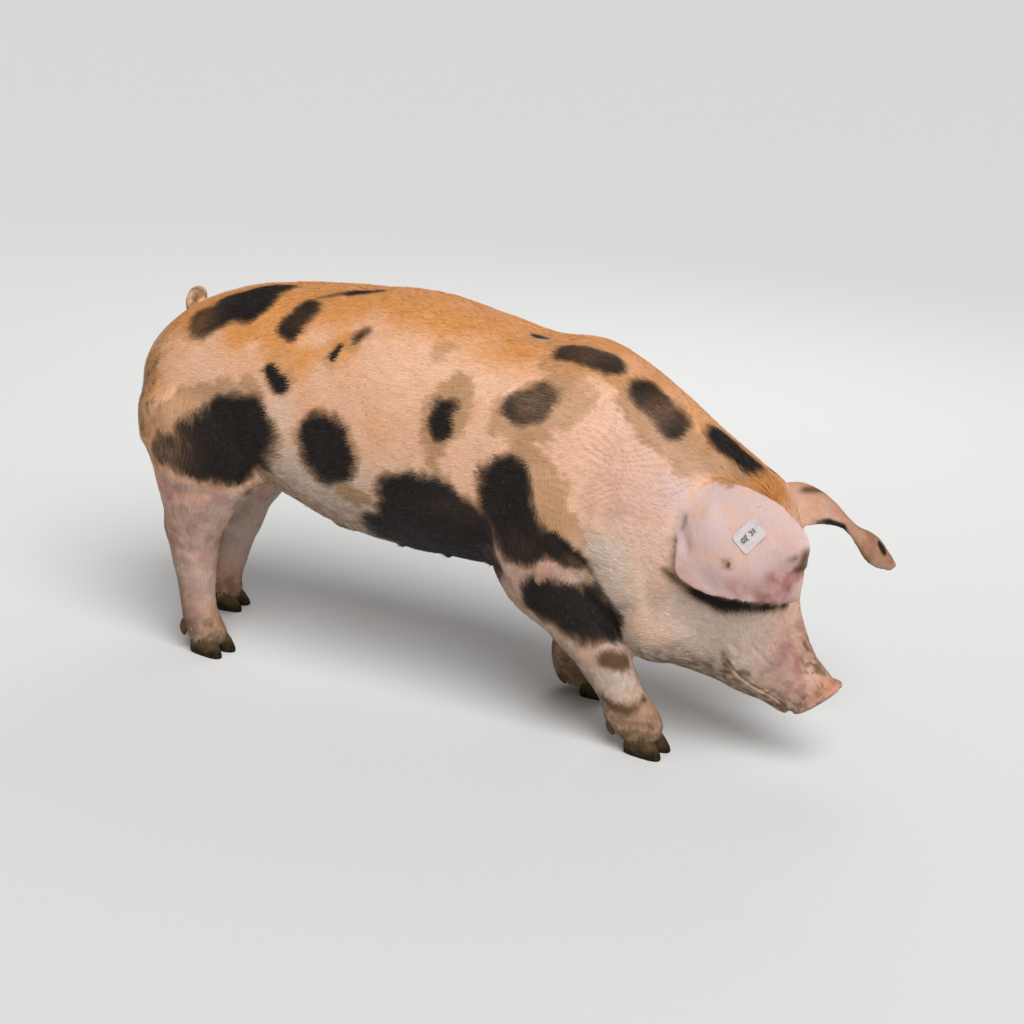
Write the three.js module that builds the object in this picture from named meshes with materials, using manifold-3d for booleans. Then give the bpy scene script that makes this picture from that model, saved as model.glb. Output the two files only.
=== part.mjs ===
// A life-size still model of a young spotted, lop-eared boar that stands with its head lowered,
// its right foreleg reaching forward and its left hind leg a little behind.
// Millimetres, +Z up. The boar faces +X, its left side is +Y, and it stands on Z = 0.
// The whole body is one lofted form with limbs let into it, parted into named pieces by thin cuts.
import * as THREE from "three";
import { mergeVertices } from "three/addons/utils/BufferGeometryUtils.js";
import Module from "manifold-3d";

const wasm = await Module();
wasm.setup();

// ---------------------------------------------------------------- driving dimensions

const GAP = 0.3; // clearance between neighbouring pieces
const SOCKET = 0.5; // how much larger than its filling a socket is cut, all round
const SPACE = 4000; // edge of a block that holds the whole animal
const RIGHT = -1;
const LEFT = 1;

const TRUNK_HALF_WIDTH = 206;
const NECK_HALF_WIDTH = 150;
const CHEEK_HALF_WIDTH = 104;
const SNOUT_HALF_WIDTH = 43;
const EYE_RADIUS = 13;
const TAIL_RADIUS = 14;
const EAR_THICKNESS = 6;
const RINGS_PER_STATION = { torso: 1.5, limb: 1.2, tube: 1.2 };
const FACETS = { torso: 26, disc: 18, limb: 12, claw: 8, dewclaw: 6, tail: 8, ball: 11, pin: 10 };

// Side profile of the body from rump to lip. Each station joins a point of the topline
// to a point of the underline, as [x, z]. wide is the half-width between them, high the share of
// the height at which the body is widest, and square the flatness of its sides.
const W = TRUNK_HALF_WIDTH;
const N = NECK_HALF_WIDTH;
const C = CHEEK_HALF_WIDTH;
const S = SNOUT_HALF_WIDTH;
const TORSO = [
  { name: "dock", over: [-573, 618], under: [-579, 540], wide: W * 0.32 },
  { name: "rump", over: [-546, 655], under: [-574, 466], wide: W * 0.61 },
  { name: "pin bones", over: [-490, 699], under: [-527, 406], wide: W * 0.8 },
  { name: "croup", over: [-405, 734], under: [-420, 374], wide: W * 0.89 },
  { name: "hips", over: [-297, 756], under: [-290, 352], wide: W * 0.94, square: 2.2 },
  { name: "loin", over: [-150, 771], under: [-140, 302], wide: W * 0.97, square: 2.25 },
  { name: "middle", over: [0, 778], under: [10, 283], wide: W, square: 2.25 },
  { name: "girth", over: [130, 757], under: [150, 284], wide: W, square: 2.25 },
  { name: "withers", over: [240, 738], under: [262, 284], wide: W * 0.97, square: 2.2 },
  { name: "shoulder", over: [350, 741], under: [345, 256], wide: W * 0.92 },
  { name: "neck base", over: [440, 706], under: [410, 222], wide: N * 1.16 },
  { name: "neck", over: [520, 659], under: [466, 180], wide: N * 1.05, high: 0.47 },
  { name: "crest", over: [600, 607], under: [520, 161], wide: N * 0.97, high: 0.45 },
  { name: "nape", over: [668, 564], under: [573, 153], wide: N * 0.93, high: 0.45 },
  { name: "poll", over: [722, 528], under: [612, 147], wide: C * 1.24, high: 0.47 },
  { name: "forehead", over: [756, 450], under: [650, 143], wide: C * 1.14, high: 0.43, square: 2.2 },
  { name: "eyes", over: [767, 378], under: [680, 135], wide: C, high: 0.38, square: 2.3 },
  { name: "cheek", over: [767, 318], under: [706, 127], wide: C * 0.82, high: 0.4, square: 2.3 },
  { name: "bridge", over: [786, 263], under: [730, 118], wide: C * 0.6, high: 0.45, square: 2.3 },
  { name: "muzzle", over: [813, 221], under: [750, 106], wide: S * 1.1 },
  { name: "lip", over: [839, 194], under: [771, 99], wide: S },
];
const HIGH = 0.5;
const SQUARE = 2.1;

// The snout disc closes the muzzle. Its face spans two points of its rim, as [x, z].
// profile gives the depth behind the face and the share of the full size there.
const DISC = {
  over: [870, 172],
  under: [789, 103],
  wide: 45,
  profile: [[34, 0.8], [17, 0.84], [10, 0.97], [4, 1], [0, 0.94]],
  nostril: { aside: 16, up: 4, size: [8, 11, 15] },
};

// Each limb is a chain of joints down its axis. y is the distance of the axis from the middle
// of the body, and front, back and wide are the half-sizes there.
const HIND_SIZES = {
  hip: { y: 76, front: 80, back: 88, wide: 62 },
  thigh: { y: 112, front: 128, back: 154, wide: 94 },
  stifle: { y: 119, front: 134, back: 152, wide: 91 },
  gaskin: { y: 125, front: 98, back: 98, wide: 70 },
  shank: { y: 128, front: 72, back: 70, wide: 51 },
  hockTop: { y: 129, front: 54, back: 59, wide: 41 },
  hock: { y: 130, front: 48, back: 52, wide: 39 },
  cannonTop: { y: 130, front: 40, back: 44, wide: 33 },
  cannon: { y: 127, front: 35, back: 41, wide: 30 },
  fetlock: { y: 122, front: 37, back: 40, wide: 34 },
  coronet: { y: 118, front: 40, back: 38, wide: 36 },
  cleft: { y: 116, front: 30, back: 28, wide: 28 },
};
const FORE_SIZES = {
  scapula: { y: 86, front: 70, back: 70, wide: 52 },
  shoulder: { y: 124, front: 118, back: 112, wide: 80 },
  arm: { y: 128, front: 118, back: 108, wide: 80 },
  elbow: { y: 126, front: 74, back: 92, wide: 64 },
  forearm: { y: 122, front: 60, back: 56, wide: 50 },
  wrist: { y: 120, front: 53, back: 46, wide: 43 },
  knee: { y: 119, front: 54, back: 44, wide: 42 },
  cannon: { y: 118, front: 48, back: 38, wide: 36 },
  fetlock: { y: 117, front: 50, back: 46, wide: 38 },
  coronet: { y: 116, front: 50, back: 38, wide: 38 },
  cleft: { y: 118, front: 30, back: 28, wide: 28 },
};
// Where the joints of each leg stand, as [x, z] and how far inwards of the usual y.
const LEGS = {
  hindleg_right: {
    side: RIGHT,
    sizes: HIND_SIZES,
    joints: {
      hip: [-410, 610],
      thigh: [-412, 515],
      stifle: [-408, 430],
      gaskin: [-424, 350],
      shank: [-431, 295],
      hockTop: [-433, 250],
      hock: [-431, 205],
      cannonTop: [-426, 160],
      cannon: [-423, 112],
      fetlock: [-418, 70],
      coronet: [-408, 40],
      cleft: [-404, 22],
    },
    foot: [-404, 115],
    turn: 6,
  },
  hindleg_left: {
    side: LEFT,
    sizes: HIND_SIZES,
    joints: {
      hip: [-410, 610],
      thigh: [-416, 515],
      stifle: [-420, 430],
      gaskin: [-441, 350],
      shank: [-457, 295],
      hockTop: [-470, 250],
      hock: [-481, 205],
      cannonTop: [-493, 160],
      cannon: [-503, 112],
      fetlock: [-515, 70],
      coronet: [-515, 40],
      cleft: [-513, 22],
    },
    foot: [-510, 118],
    turn: 8,
  },
  foreleg_right: {
    side: RIGHT,
    sizes: FORE_SIZES,
    joints: {
      scapula: [270, 625],
      shoulder: [300, 510],
      arm: [306, 410],
      elbow: [328, 318],
      forearm: [380, 246],
      wrist: [427, 192, 3],
      knee: [450, 160, 5],
      cannon: [477, 112, 10],
      fetlock: [498, 74, 15],
      coronet: [520, 42, 18],
      cleft: [526, 22, 20],
    },
    foot: [532, 96],
    turn: 4,
  },
  foreleg_left: {
    side: LEFT,
    sizes: FORE_SIZES,
    joints: {
      scapula: [260, 625],
      shoulder: [290, 510],
      arm: [286, 415],
      elbow: [280, 335],
      forearm: [282, 265, 4],
      wrist: [290, 208, 8],
      knee: [290, 176, 8],
      cannon: [293, 118, 8],
      fetlock: [304, 62, 8],
      coronet: [334, 36, 8],
      cleft: [346, 22, 8],
    },
    foot: [356, 108],
    turn: 8,
  },
};

// One claw of a hoof about the middle of the foot, from heel to toe: [x, z] above and below.
const CLAW = [
  { over: [-26, 36], under: [-30, 16], wide: 9 },
  { over: [-18, 47], under: [-26, -3], wide: 15 },
  { over: [-4, 52], under: [-10, -9], wide: 17 },
  { over: [12, 46], under: [8, -9], wide: 17 },
  { over: [30, 28], under: [28, -9], wide: 15 },
  { over: [42, 13], under: [40, -9], wide: 9 },
  { over: [46, 5], under: [44, -9], wide: 4 },
];
const CLAW_SPREAD = 20; // from the middle of a foot to the middle of a claw
const CLAW_SPLAY = 4; // degrees that each claw turns away from its fellow
const CLAW_SQUARE = 2.6;
// One dewclaw behind the fetlock: how far behind that joint and how far down the leg each of its
// points is, and the radius there.
const DEWCLAW = [
  { behind: 20, down: -8, radius: 8 },
  { behind: 32, down: 0, radius: 9 },
  { behind: 38, down: 13, radius: 8 },
  { behind: 40, down: 26, radius: 3 },
];
const DEWCLAW_SPREAD = 19;

// Ears: the line from root to tip, how far the leaf reaches back and forward of it, and how much
// its edges curl under. across is the way from the back edge to the front edge.
const EARS = {
  ear_right: {
    side: RIGHT,
    across: [1, -0.1, 0.35],
    leaf: [
      { at: [682, -84, 526], back: 104, front: 62, curl: 20 },
      { at: [692, -142, 518], back: 138, front: 100, curl: 24 },
      { at: [714, -180, 458], back: 146, front: 116, curl: 20 },
      { at: [750, -192, 404], back: 104, front: 92, curl: 14 },
      { at: [814, -178, 374], back: 20, front: 26, curl: 3 },
    ],
  },
  ear_left: {
    side: LEFT,
    across: [0.4, -0.9, -0.12],
    leaf: [
      { at: [688, 88, 498], back: 62, front: 62, curl: 30 },
      { at: [733, 140, 488], back: 104, front: 66, curl: 34 },
      { at: [792, 176, 446], back: 120, front: 54, curl: 36 },
      { at: [852, 200, 392], back: 98, front: 54, curl: 28 },
      { at: [892, 210, 346], back: 30, front: 34, curl: 8 },
    ],
  },
};
const EAR_RINGS = 11; // cross-sections from root to tip
const EAR_COLUMNS = 7; // facets from edge to edge
const EAR_RIM = 0.3; // thickness of its edges, as a share of the middle's

// The tag on the right ear: where on the leaf its stud sits, and the plate and its buttons.
const TAG = {
  along: 0.42,
  aside: 0.12,
  step: 0.05,
  turn: 35,
  wide: 52,
  tall: 42,
  corner: 6,
  thick: 1.6,
  lift: 3,
  pin: 2.5,
  stud: { radius: 6, tall: 3 },
  button: { radius: 11, tall: 3 },
};

const EYE = { x: 738, aside: 83, z: 374 };

// The tail from root to tip: its middle line and its radius.
const TAIL = [
  { at: [-505, 0, 640], radius: TAIL_RADIUS * 1.2 },
  { at: [-527, 4, 664], radius: TAIL_RADIUS * 1.1 },
  { at: [-534, 8, 688], radius: TAIL_RADIUS },
  { at: [-531, 18, 704], radius: TAIL_RADIUS * 0.9 },
  { at: [-526, 38, 700], radius: TAIL_RADIUS * 0.75 },
  { at: [-524, 48, 684], radius: TAIL_RADIUS * 0.3 },
];

// Rounded masses that fill out the body: middle, half-sizes and pitch in degrees. Those with a
// distance from the middle plane come in pairs.
const MASSES = [
  { name: "sheath", at: [-140, 0, 304], size: [58, 26, 24], pitch: -10 },
  { name: "jowl", at: [556, 54, 262], size: [116, 94, 86], pitch: -24 },
];

// Cutting planes: a point on each and the way to its front side, both [x, z].
const CUTS = {
  neck: { at: [425, 470], way: [1, -0.1] },
  head: { at: [640, 350], way: [1, -0.42] },
  snout: { at: [818, 168], way: [0.72, -0.69] },
  mouth: { at: [666, 213], way: [0.68, 0.733] },
  mouthCorner: { at: [666, 213], way: [0.733, -0.68] },
};

const LOOKS = {
  skin: { color: 0xd8a48c, roughness: 0.6, metalness: 0 },
  snout: { color: 0xd2958a, roughness: 0.5, metalness: 0 },
  claw: { color: 0x3a2e29, roughness: 0.55, metalness: 0 },
  eye: { color: 0x2b1a12, roughness: 0.1, metalness: 0 },
  tag: { color: 0xe9e6dc, roughness: 0.45, metalness: 0 },
};

// ---------------------------------------------------------------- making and cutting solids

const vector = (x, y, z) => new THREE.Vector3(x, y, z);
const inPlane = ([x, z]) => vector(x, 0, z);
const count = (length) => Array.from({ length }, (_, i) => i);

// A closed solid from a closed geometry.
function solidOf(geometry) {
  const bare = geometry.clone();
  bare.deleteAttribute("normal");
  bare.deleteAttribute("uv");
  const merged = mergeVertices(bare, 1e-3);
  return new wasm.Manifold(
    new wasm.Mesh({
      numProp: 3,
      vertProperties: new Float32Array(merged.getAttribute("position").array),
      triVerts: new Uint32Array(merged.index.array),
    }),
  );
}

const middleOf = (ring) => ring.reduce((sum, p) => sum.add(p), vector(0, 0, 0)).divideScalar(ring.length);

// A closed solid through rings of points, each end closed by a fan about its middle. extra moves
// the ends outwards, for a form that is grown by that much.
function loft(rings, extra = 0) {
  const size = rings[0].length;
  const ends = [[rings[0], rings[1]], [rings.at(-1), rings.at(-2)]];
  for (const [end, next] of ends) {
    const out = middleOf(end).sub(middleOf(next)).setLength(extra);
    for (const point of end) point.add(out);
  }
  const points = rings.flat();
  const faces = [];
  for (const r of count(rings.length - 1)) {
    for (const i of count(size)) {
      const a = r * size + i;
      const b = r * size + ((i + 1) % size);
      faces.push(a, b, b + size, a, b + size, a + size);
    }
  }
  for (const [ring, start] of [[rings[0], 0], [rings.at(-1), (rings.length - 1) * size]]) {
    const hub = points.push(middleOf(ring)) - 1;
    for (const i of count(size)) {
      const edge = [start + i, start + ((i + 1) % size)];
      faces.push(hub, ...(start === 0 ? edge.reverse() : edge));
    }
  }
  const volume = count(faces.length / 3).reduce((sum, f) => {
    const [a, b, c] = [0, 1, 2].map((k) => points[faces[3 * f + k]]);
    return sum + a.dot(b.clone().cross(c));
  }, 0);
  const geometry = new THREE.BufferGeometry().setFromPoints(points);
  geometry.setIndex(volume > 0 ? faces : faces.reverse());
  return solidOf(geometry);
}

// Numbers carried smoothly along a list of stations: pick gives three of them for a station.
function track(stations, pick) {
  return new THREE.CatmullRomCurve3(stations.map((s) => vector(...pick(s))), false, "centripetal");
}

// One cross-section about middle: up and down are its half-axes one way and the other, side the
// half-axis across them, and square over 2 flattens its sides.
function section(middle, up, down, side, square, points) {
  const press = (value) => Math.sign(value) * Math.abs(value) ** (2 / square);
  return count(points).map((i) => {
    const angle = (2 * Math.PI * i) / points;
    const rise = press(Math.sin(angle));
    return middle
      .clone()
      .addScaledVector(rise > 0 ? up : down, rise)
      .addScaledVector(side, press(Math.cos(angle)));
  });
}

// An ellipsoid about a point, pitched nose-down by a number of degrees.
function ball(at, size, pitch = 0) {
  const geometry = new THREE.SphereGeometry(1, FACETS.ball, FACETS.ball - 4);
  geometry.scale(...size);
  geometry.rotateY((pitch * Math.PI) / 180);
  geometry.translate(...at);
  return solidOf(geometry);
}

// The part of a solid in front of a cutting plane (sign 1) or behind it (sign -1), less the gap.
function part(solid, cut, sign, gap = GAP / 2) {
  const way = inPlane(cut.way).normalize().multiplyScalar(sign);
  return solid.trimByPlane(way.toArray(), way.dot(inPlane(cut.at)) + gap);
}

// The largest piece of a solid, free of the slivers that a cut leaves.
function largest(solid) {
  const pieces = solid.decompose();
  return pieces.reduce((best, piece) => (piece.volume() > best.volume() ? piece : best));
}

// ---------------------------------------------------------------- head, neck and trunk

function torso(extra) {
  const over = track(TORSO, (s) => [s.over[0], s.wide, s.over[1]]);
  const under = track(TORSO, (s) => [s.under[0], 0, s.under[1]]);
  const form = track(TORSO, (s) => [s.high ?? HIGH, 0, s.square ?? SQUARE]);
  const steps = RINGS_PER_STATION.torso * (TORSO.length - 1);
  return loft(
    count(steps + 1).map((i) => {
      const [top, bottom, shape] = [over, under, form].map((curve) => curve.getPoint(i / steps));
      const wide = vector(0, top.y + extra, 0);
      top.y = 0;
      const middle = bottom.clone().lerp(top, shape.x);
      const up = top.clone().sub(middle);
      const down = middle.clone().sub(bottom);
      for (const axis of [up, down]) axis.setLength(axis.length() + extra);
      return section(middle, up, down, wide, shape.z, FACETS.torso);
    }),
    extra,
  );
}

function masses(extra) {
  return MASSES.flatMap(({ at: [x, y, z], size, pitch }) =>
    (y ? [LEFT, RIGHT] : [LEFT]).map((side) =>
      ball([x, side * y, z], size.map((s) => s + extra), pitch),
    ),
  );
}

function snoutDisc() {
  const [over, under] = [inPlane(DISC.over), inPlane(DISC.under)];
  const middle = over.clone().lerp(under, 0.5);
  const up = over.clone().sub(middle);
  const out = vector(up.z, 0, -up.x).normalize();
  const rings = DISC.profile.map(([depth, share]) => {
    const half = up.clone().multiplyScalar(share);
    const side = vector(0, DISC.wide * share, 0);
    return section(middle.clone().addScaledVector(out, -depth), half, half, side, 2.2, FACETS.disc);
  });
  const pitch = THREE.MathUtils.radToDeg(Math.atan2(-out.z, out.x));
  const nostrils = [LEFT, RIGHT].map((side) => {
    const at = middle.clone().addScaledVector(up.clone().normalize(), DISC.nostril.up);
    at.y = side * DISC.nostril.aside;
    const [wide, tall, deep] = DISC.nostril.size;
    return ball(at.toArray(), [deep, wide, tall], pitch);
  });
  return { disc: loft(rings), nostrils };
}

const wholeBody = (extra) => wasm.Manifold.union([torso(extra), ...masses(extra)]);

// ---------------------------------------------------------------- limbs

function limb({ side, sizes, joints }, extra) {
  const stations = Object.entries(joints).map(([name, [x, z, inwards = 0]]) => ({
    ...sizes[name],
    at: [x, side * (sizes[name].y - inwards), z],
  }));
  const axis = track(stations, (s) => s.at);
  const size = track(stations, (s) => [s.front, s.wide, s.back]);
  const steps = Math.round(RINGS_PER_STATION.limb * (stations.length - 1));
  return loft(
    count(steps + 1).map((i) => {
      const share = i / steps;
      const middle = axis.getPoint(share);
      const down = axis.getTangent(share);
      const forward = vector(-down.z, 0, down.x).normalize();
      const half = size.getPoint(share).addScalar(extra);
      const ahead = forward.clone().multiplyScalar(half.x);
      const behind = forward.clone().multiplyScalar(half.z);
      return section(middle, ahead, behind, vector(0, half.y, 0), SQUARE, FACETS.limb);
    }),
    extra,
  );
}

// The two claws of a foot, with flat soles on the floor.
function claws({ side, foot: [x, y], turn }, extra) {
  return [LEFT, RIGHT].map((which) => {
    const rings = CLAW.map(({ over, under, wide }) => {
      const [top, bottom] = [inPlane(over), inPlane(under)];
      const middle = top.clone().lerp(bottom, 0.5);
      const up = top.sub(middle);
      up.setLength(up.length() + extra);
      const across = vector(0, wide + extra, 0);
      return section(middle, up, up, across, CLAW_SQUARE, FACETS.claw);
    });
    const splay = THREE.MathUtils.degToRad(which * CLAW_SPLAY);
    const yaw = THREE.MathUtils.degToRad(side * turn);
    const place = new THREE.Matrix4()
      .makeTranslation(x, side * y, 0)
      .multiply(new THREE.Matrix4().makeRotationZ(yaw))
      .multiply(new THREE.Matrix4().makeTranslation(0, which * CLAW_SPREAD, 0))
      .multiply(new THREE.Matrix4().makeRotationZ(splay));
    const solid = loft(rings.map((ring) => ring.map((p) => p.applyMatrix4(place))), extra);
    return solid.trimByPlane([0, 0, 1], -extra);
  });
}

// A round tapering tube through points, with its radius given at each.
function tube(stations, facets, extra = 0) {
  const line = track(stations, (s) => s.at);
  const radius = track(stations, (s) => [s.radius, 0, 0]);
  const steps = Math.round(RINGS_PER_STATION.tube * (stations.length - 1));
  return loft(
    count(steps + 1).map((i) => {
      const size = radius.getPoint(i / steps).x + extra;
      const ahead = line.getTangent(i / steps);
      const side = vector(0, 1, 0).addScaledVector(ahead, -ahead.y).normalize();
      const up = side.clone().cross(ahead).multiplyScalar(size);
      return section(line.getPoint(i / steps), up, up, side.multiplyScalar(size), 2, facets);
    }),
    extra,
  );
}

function dewclaws({ side, sizes, joints }, extra) {
  const [x, z, inwards = 0] = joints.fetlock;
  const along = inPlane(joints.coronet).sub(vector(x, 0, z)).normalize();
  return [LEFT, RIGHT].map((which) => {
    const root = vector(x, side * (sizes.fetlock.y - inwards) + which * DEWCLAW_SPREAD, z);
    const stations = DEWCLAW.map(({ behind, down, radius }) => {
      const back = vector(along.z, 0, -along.x).multiplyScalar(behind);
      return { at: root.clone().add(back).addScaledVector(along, down).toArray(), radius };
    });
    return tube(stations, FACETS.dewclaw, extra);
  });
}

// ---------------------------------------------------------------- ears, tag, eyes and tail

// A frame on the leaf of an ear, at a share of its length and of its reach forward (or back,
// when negative): the point on its middle layer, and the way out of its outer face.
function earFrame({ side, across, leaf }, along, aside) {
  const line = track(leaf, (s) => s.at);
  const reach = track(leaf, (s) => [s.back, s.front, s.curl]).getPoint(along);
  const ahead = line.getTangent(along);
  const width = vector(...across);
  width.addScaledVector(ahead, -ahead.dot(width)).normalize();
  const out = width.clone().cross(ahead).multiplyScalar(side);
  const point = line
    .getPoint(along)
    .addScaledVector(width, aside * (aside < 0 ? reach.x : reach.y))
    .addScaledVector(out, -reach.z * aside * aside);
  return { point, width, out };
}

function earLeaf(ear, extra) {
  const rings = count(EAR_RINGS).map((r) => {
    const along = r / (EAR_RINGS - 1);
    const face = (sign) =>
      count(EAR_COLUMNS + 1).map((c) => {
        const aside = (2 * c) / EAR_COLUMNS - 1;
        const { point, out } = earFrame(ear, along, aside);
        const thick = EAR_THICKNESS * (EAR_RIM + (1 - EAR_RIM) * Math.sqrt(1 - aside * aside));
        return point.addScaledVector(out, sign * (thick / 2 + extra));
      });
    return [...face(1), ...face(-1).reverse()];
  });
  return loft(rings, extra);
}

// A disc or pin along Z from one height to another.
function pin(radius, from, to) {
  const geometry = new THREE.CylinderGeometry(radius, radius, to - from, FACETS.pin);
  geometry.rotateX(Math.PI / 2);
  geometry.translate(0, 0, (from + to) / 2);
  return solidOf(geometry);
}

function roundedPlate(wide, tall, corner, thick) {
  const [x, y] = [wide / 2 - corner, tall / 2 - corner];
  const shape = new THREE.Shape();
  shape.absarc(x, y, corner, 0, Math.PI / 2);
  shape.absarc(-x, y, corner, Math.PI / 2, Math.PI);
  shape.absarc(-x, -y, corner, Math.PI, 1.5 * Math.PI);
  shape.absarc(x, -y, corner, 1.5 * Math.PI, 2 * Math.PI);
  return solidOf(new THREE.ExtrudeGeometry(shape, { depth: thick, bevelEnabled: false, curveSegments: 3 }));
}

// The ear tag: a plate and a stud on the outer face, joined by a pin to a button on the inner face.
function earTag(ear) {
  const { point } = earFrame(ear, TAG.along, TAG.aside);
  const further = earFrame(ear, TAG.along + TAG.step, TAG.aside).point.sub(point);
  const forward = earFrame(ear, TAG.along, TAG.aside + TAG.step).point.sub(point).normalize();
  const out = forward.clone().cross(further).multiplyScalar(ear.side).normalize();
  const across = forward.applyAxisAngle(out, THREE.MathUtils.degToRad(TAG.turn));
  const place = new THREE.Matrix4().makeBasis(across, out.clone().cross(across), out);
  place.setPosition(point);
  const face = EAR_THICKNESS / 2 + GAP + TAG.lift;
  const plateTop = face + TAG.thick;
  const onEar = (solid) => solid.transform(place.toArray());
  const plate = roundedPlate(TAG.wide, TAG.tall, TAG.corner, TAG.thick).translate(0, 0, face);
  const stud = pin(TAG.stud.radius, face, plateTop + TAG.stud.tall);
  const button = pin(TAG.button.radius, -face - TAG.button.tall, -face);
  const shaft = pin(TAG.pin, -face - 1, plateTop);
  const outside = onEar(wasm.Manifold.union([plate, stud, button])).subtract(earLeaf(ear, GAP));
  return {
    tag: outside.add(onEar(shaft)),
    hole: onEar(pin(TAG.pin + GAP, -2 * face, 2 * face)),
  };
}

const eyeball = (side, extra) => ball([EYE.x, side * EYE.aside, EYE.z], Array(3).fill(EYE_RADIUS + extra));

// ---------------------------------------------------------------- assembly

const solids = {};
const looks = {};
function put(name, solid, look = "skin") {
  solids[name] = largest(solid);
  looks[name] = look;
}

const legs = Object.entries(LEGS);
const eyes = { eye_right: RIGHT, eye_left: LEFT };
const { disc, nostrils } = snoutDisc();
const fillings = [
  ...legs.map(([, leg]) => limb(leg, SOCKET)),
  ...Object.values(eyes).map((side) => eyeball(side, GAP)),
];
const body = wholeBody(0).subtract(wasm.Manifold.union(fillings));
const surround = wholeBody(SOCKET);

put("trunk", part(body, CUTS.neck, -1));
put("neck", part(part(body, CUTS.neck, 1), CUTS.head, -1));
const skull = part(part(body, CUTS.head, 1), CUTS.snout, -1);
const space = solidOf(new THREE.BoxGeometry(SPACE, SPACE, SPACE));
const belowMouth = (gap) => part(part(space, CUTS.mouth, -1, gap), CUTS.mouthCorner, 1, gap);
put("head", skull.subtract(belowMouth(-GAP / 2)));
put("lower_jaw", skull.intersect(belowMouth(GAP / 2)));
const muzzle = part(body, CUTS.snout, 1).add(part(disc, CUTS.snout, 1));
put("snout", muzzle.subtract(wasm.Manifold.union(nostrils)), "snout");

for (const [name, side] of Object.entries(eyes)) put(name, eyeball(side, 0), "eye");

const { tag, hole } = earTag(EARS.ear_right);
put("ear_right", earLeaf(EARS.ear_right, 0).subtract(surround).subtract(hole));
put("ear_left", earLeaf(EARS.ear_left, 0).subtract(surround));
put("ear_tag", tag, "tag");
put("tail", tube(TAIL, FACETS.tail).subtract(surround));

for (const [name, leg] of legs) {
  const foot = name.replace("leg", "");
  const horn = [...claws(leg, GAP), ...dewclaws(leg, GAP)];
  put(name, limb(leg, 0).subtract(wasm.Manifold.union(horn)));
  for (const [i, place] of ["inner", "outer"].entries()) {
    const which = leg.side === LEFT ? 1 - i : i;
    put(`claw_${foot}_${place}`, claws(leg, 0)[which], "claw");
    put(`dewclaw_${foot}_${place}`, dewclaws(leg, 0)[which], "claw");
  }
}

const pig = new THREE.Group();
const box = new THREE.Box3();
for (const [name, solid] of Object.entries(solids)) {
  const { vertProperties, triVerts } = solid.getMesh();
  const geometry = new THREE.BufferGeometry();
  geometry.setAttribute("position", new THREE.BufferAttribute(vertProperties, 3));
  geometry.setIndex(new THREE.BufferAttribute(triVerts, 1));
  geometry.computeVertexNormals();
  geometry.computeBoundingBox();
  box.union(geometry.boundingBox);
  const mesh = new THREE.Mesh(geometry, new THREE.MeshStandardMaterial(LOOKS[looks[name]]));
  mesh.name = name;
  pig.add(mesh);
}

// The origin is on the floor under the middle of the animal.
const middle = box.getCenter(vector(0, 0, 0));
pig.position.set(-middle.x, -middle.y, 0);

const model = new THREE.Group();
model.add(pig);
export default model;
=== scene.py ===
"""A young spotted, lop-eared pig as a life-size museum model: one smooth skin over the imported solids,
a short lying coat of mesh tufts, and horn, eyes and ear tag of their own.

Shapes are worked out in millimetres about the animal's middle plane, and become metres in the
row's frame when a piece is made."""

import math

import bmesh
import bpy
import numpy as np
from mathutils import Matrix
from mathutils.bvhtree import BVHTree


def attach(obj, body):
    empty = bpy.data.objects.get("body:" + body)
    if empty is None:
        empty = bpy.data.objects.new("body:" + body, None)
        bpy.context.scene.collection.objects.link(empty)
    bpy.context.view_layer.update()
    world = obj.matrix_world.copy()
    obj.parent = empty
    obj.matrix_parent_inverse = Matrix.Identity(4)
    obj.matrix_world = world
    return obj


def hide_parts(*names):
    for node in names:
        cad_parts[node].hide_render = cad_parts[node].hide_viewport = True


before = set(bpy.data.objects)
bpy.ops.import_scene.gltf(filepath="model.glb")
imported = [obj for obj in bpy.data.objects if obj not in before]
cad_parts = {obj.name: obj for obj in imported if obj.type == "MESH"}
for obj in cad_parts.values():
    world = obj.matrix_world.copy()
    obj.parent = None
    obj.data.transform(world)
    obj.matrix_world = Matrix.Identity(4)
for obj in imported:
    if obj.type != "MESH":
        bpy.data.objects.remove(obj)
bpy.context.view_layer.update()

# ---------------------------------------------------------------- driving dimensions, mm

ORIGIN = np.array([-159.26, -39.83, 0.0])  # from the animal's own origin to the row's
RIGHT, LEFT = -1, 1
DEPTH = 1.5  # how far the skin lies under the outside of the coat
VOXEL = 3.7  # size of the skin's faces

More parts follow.
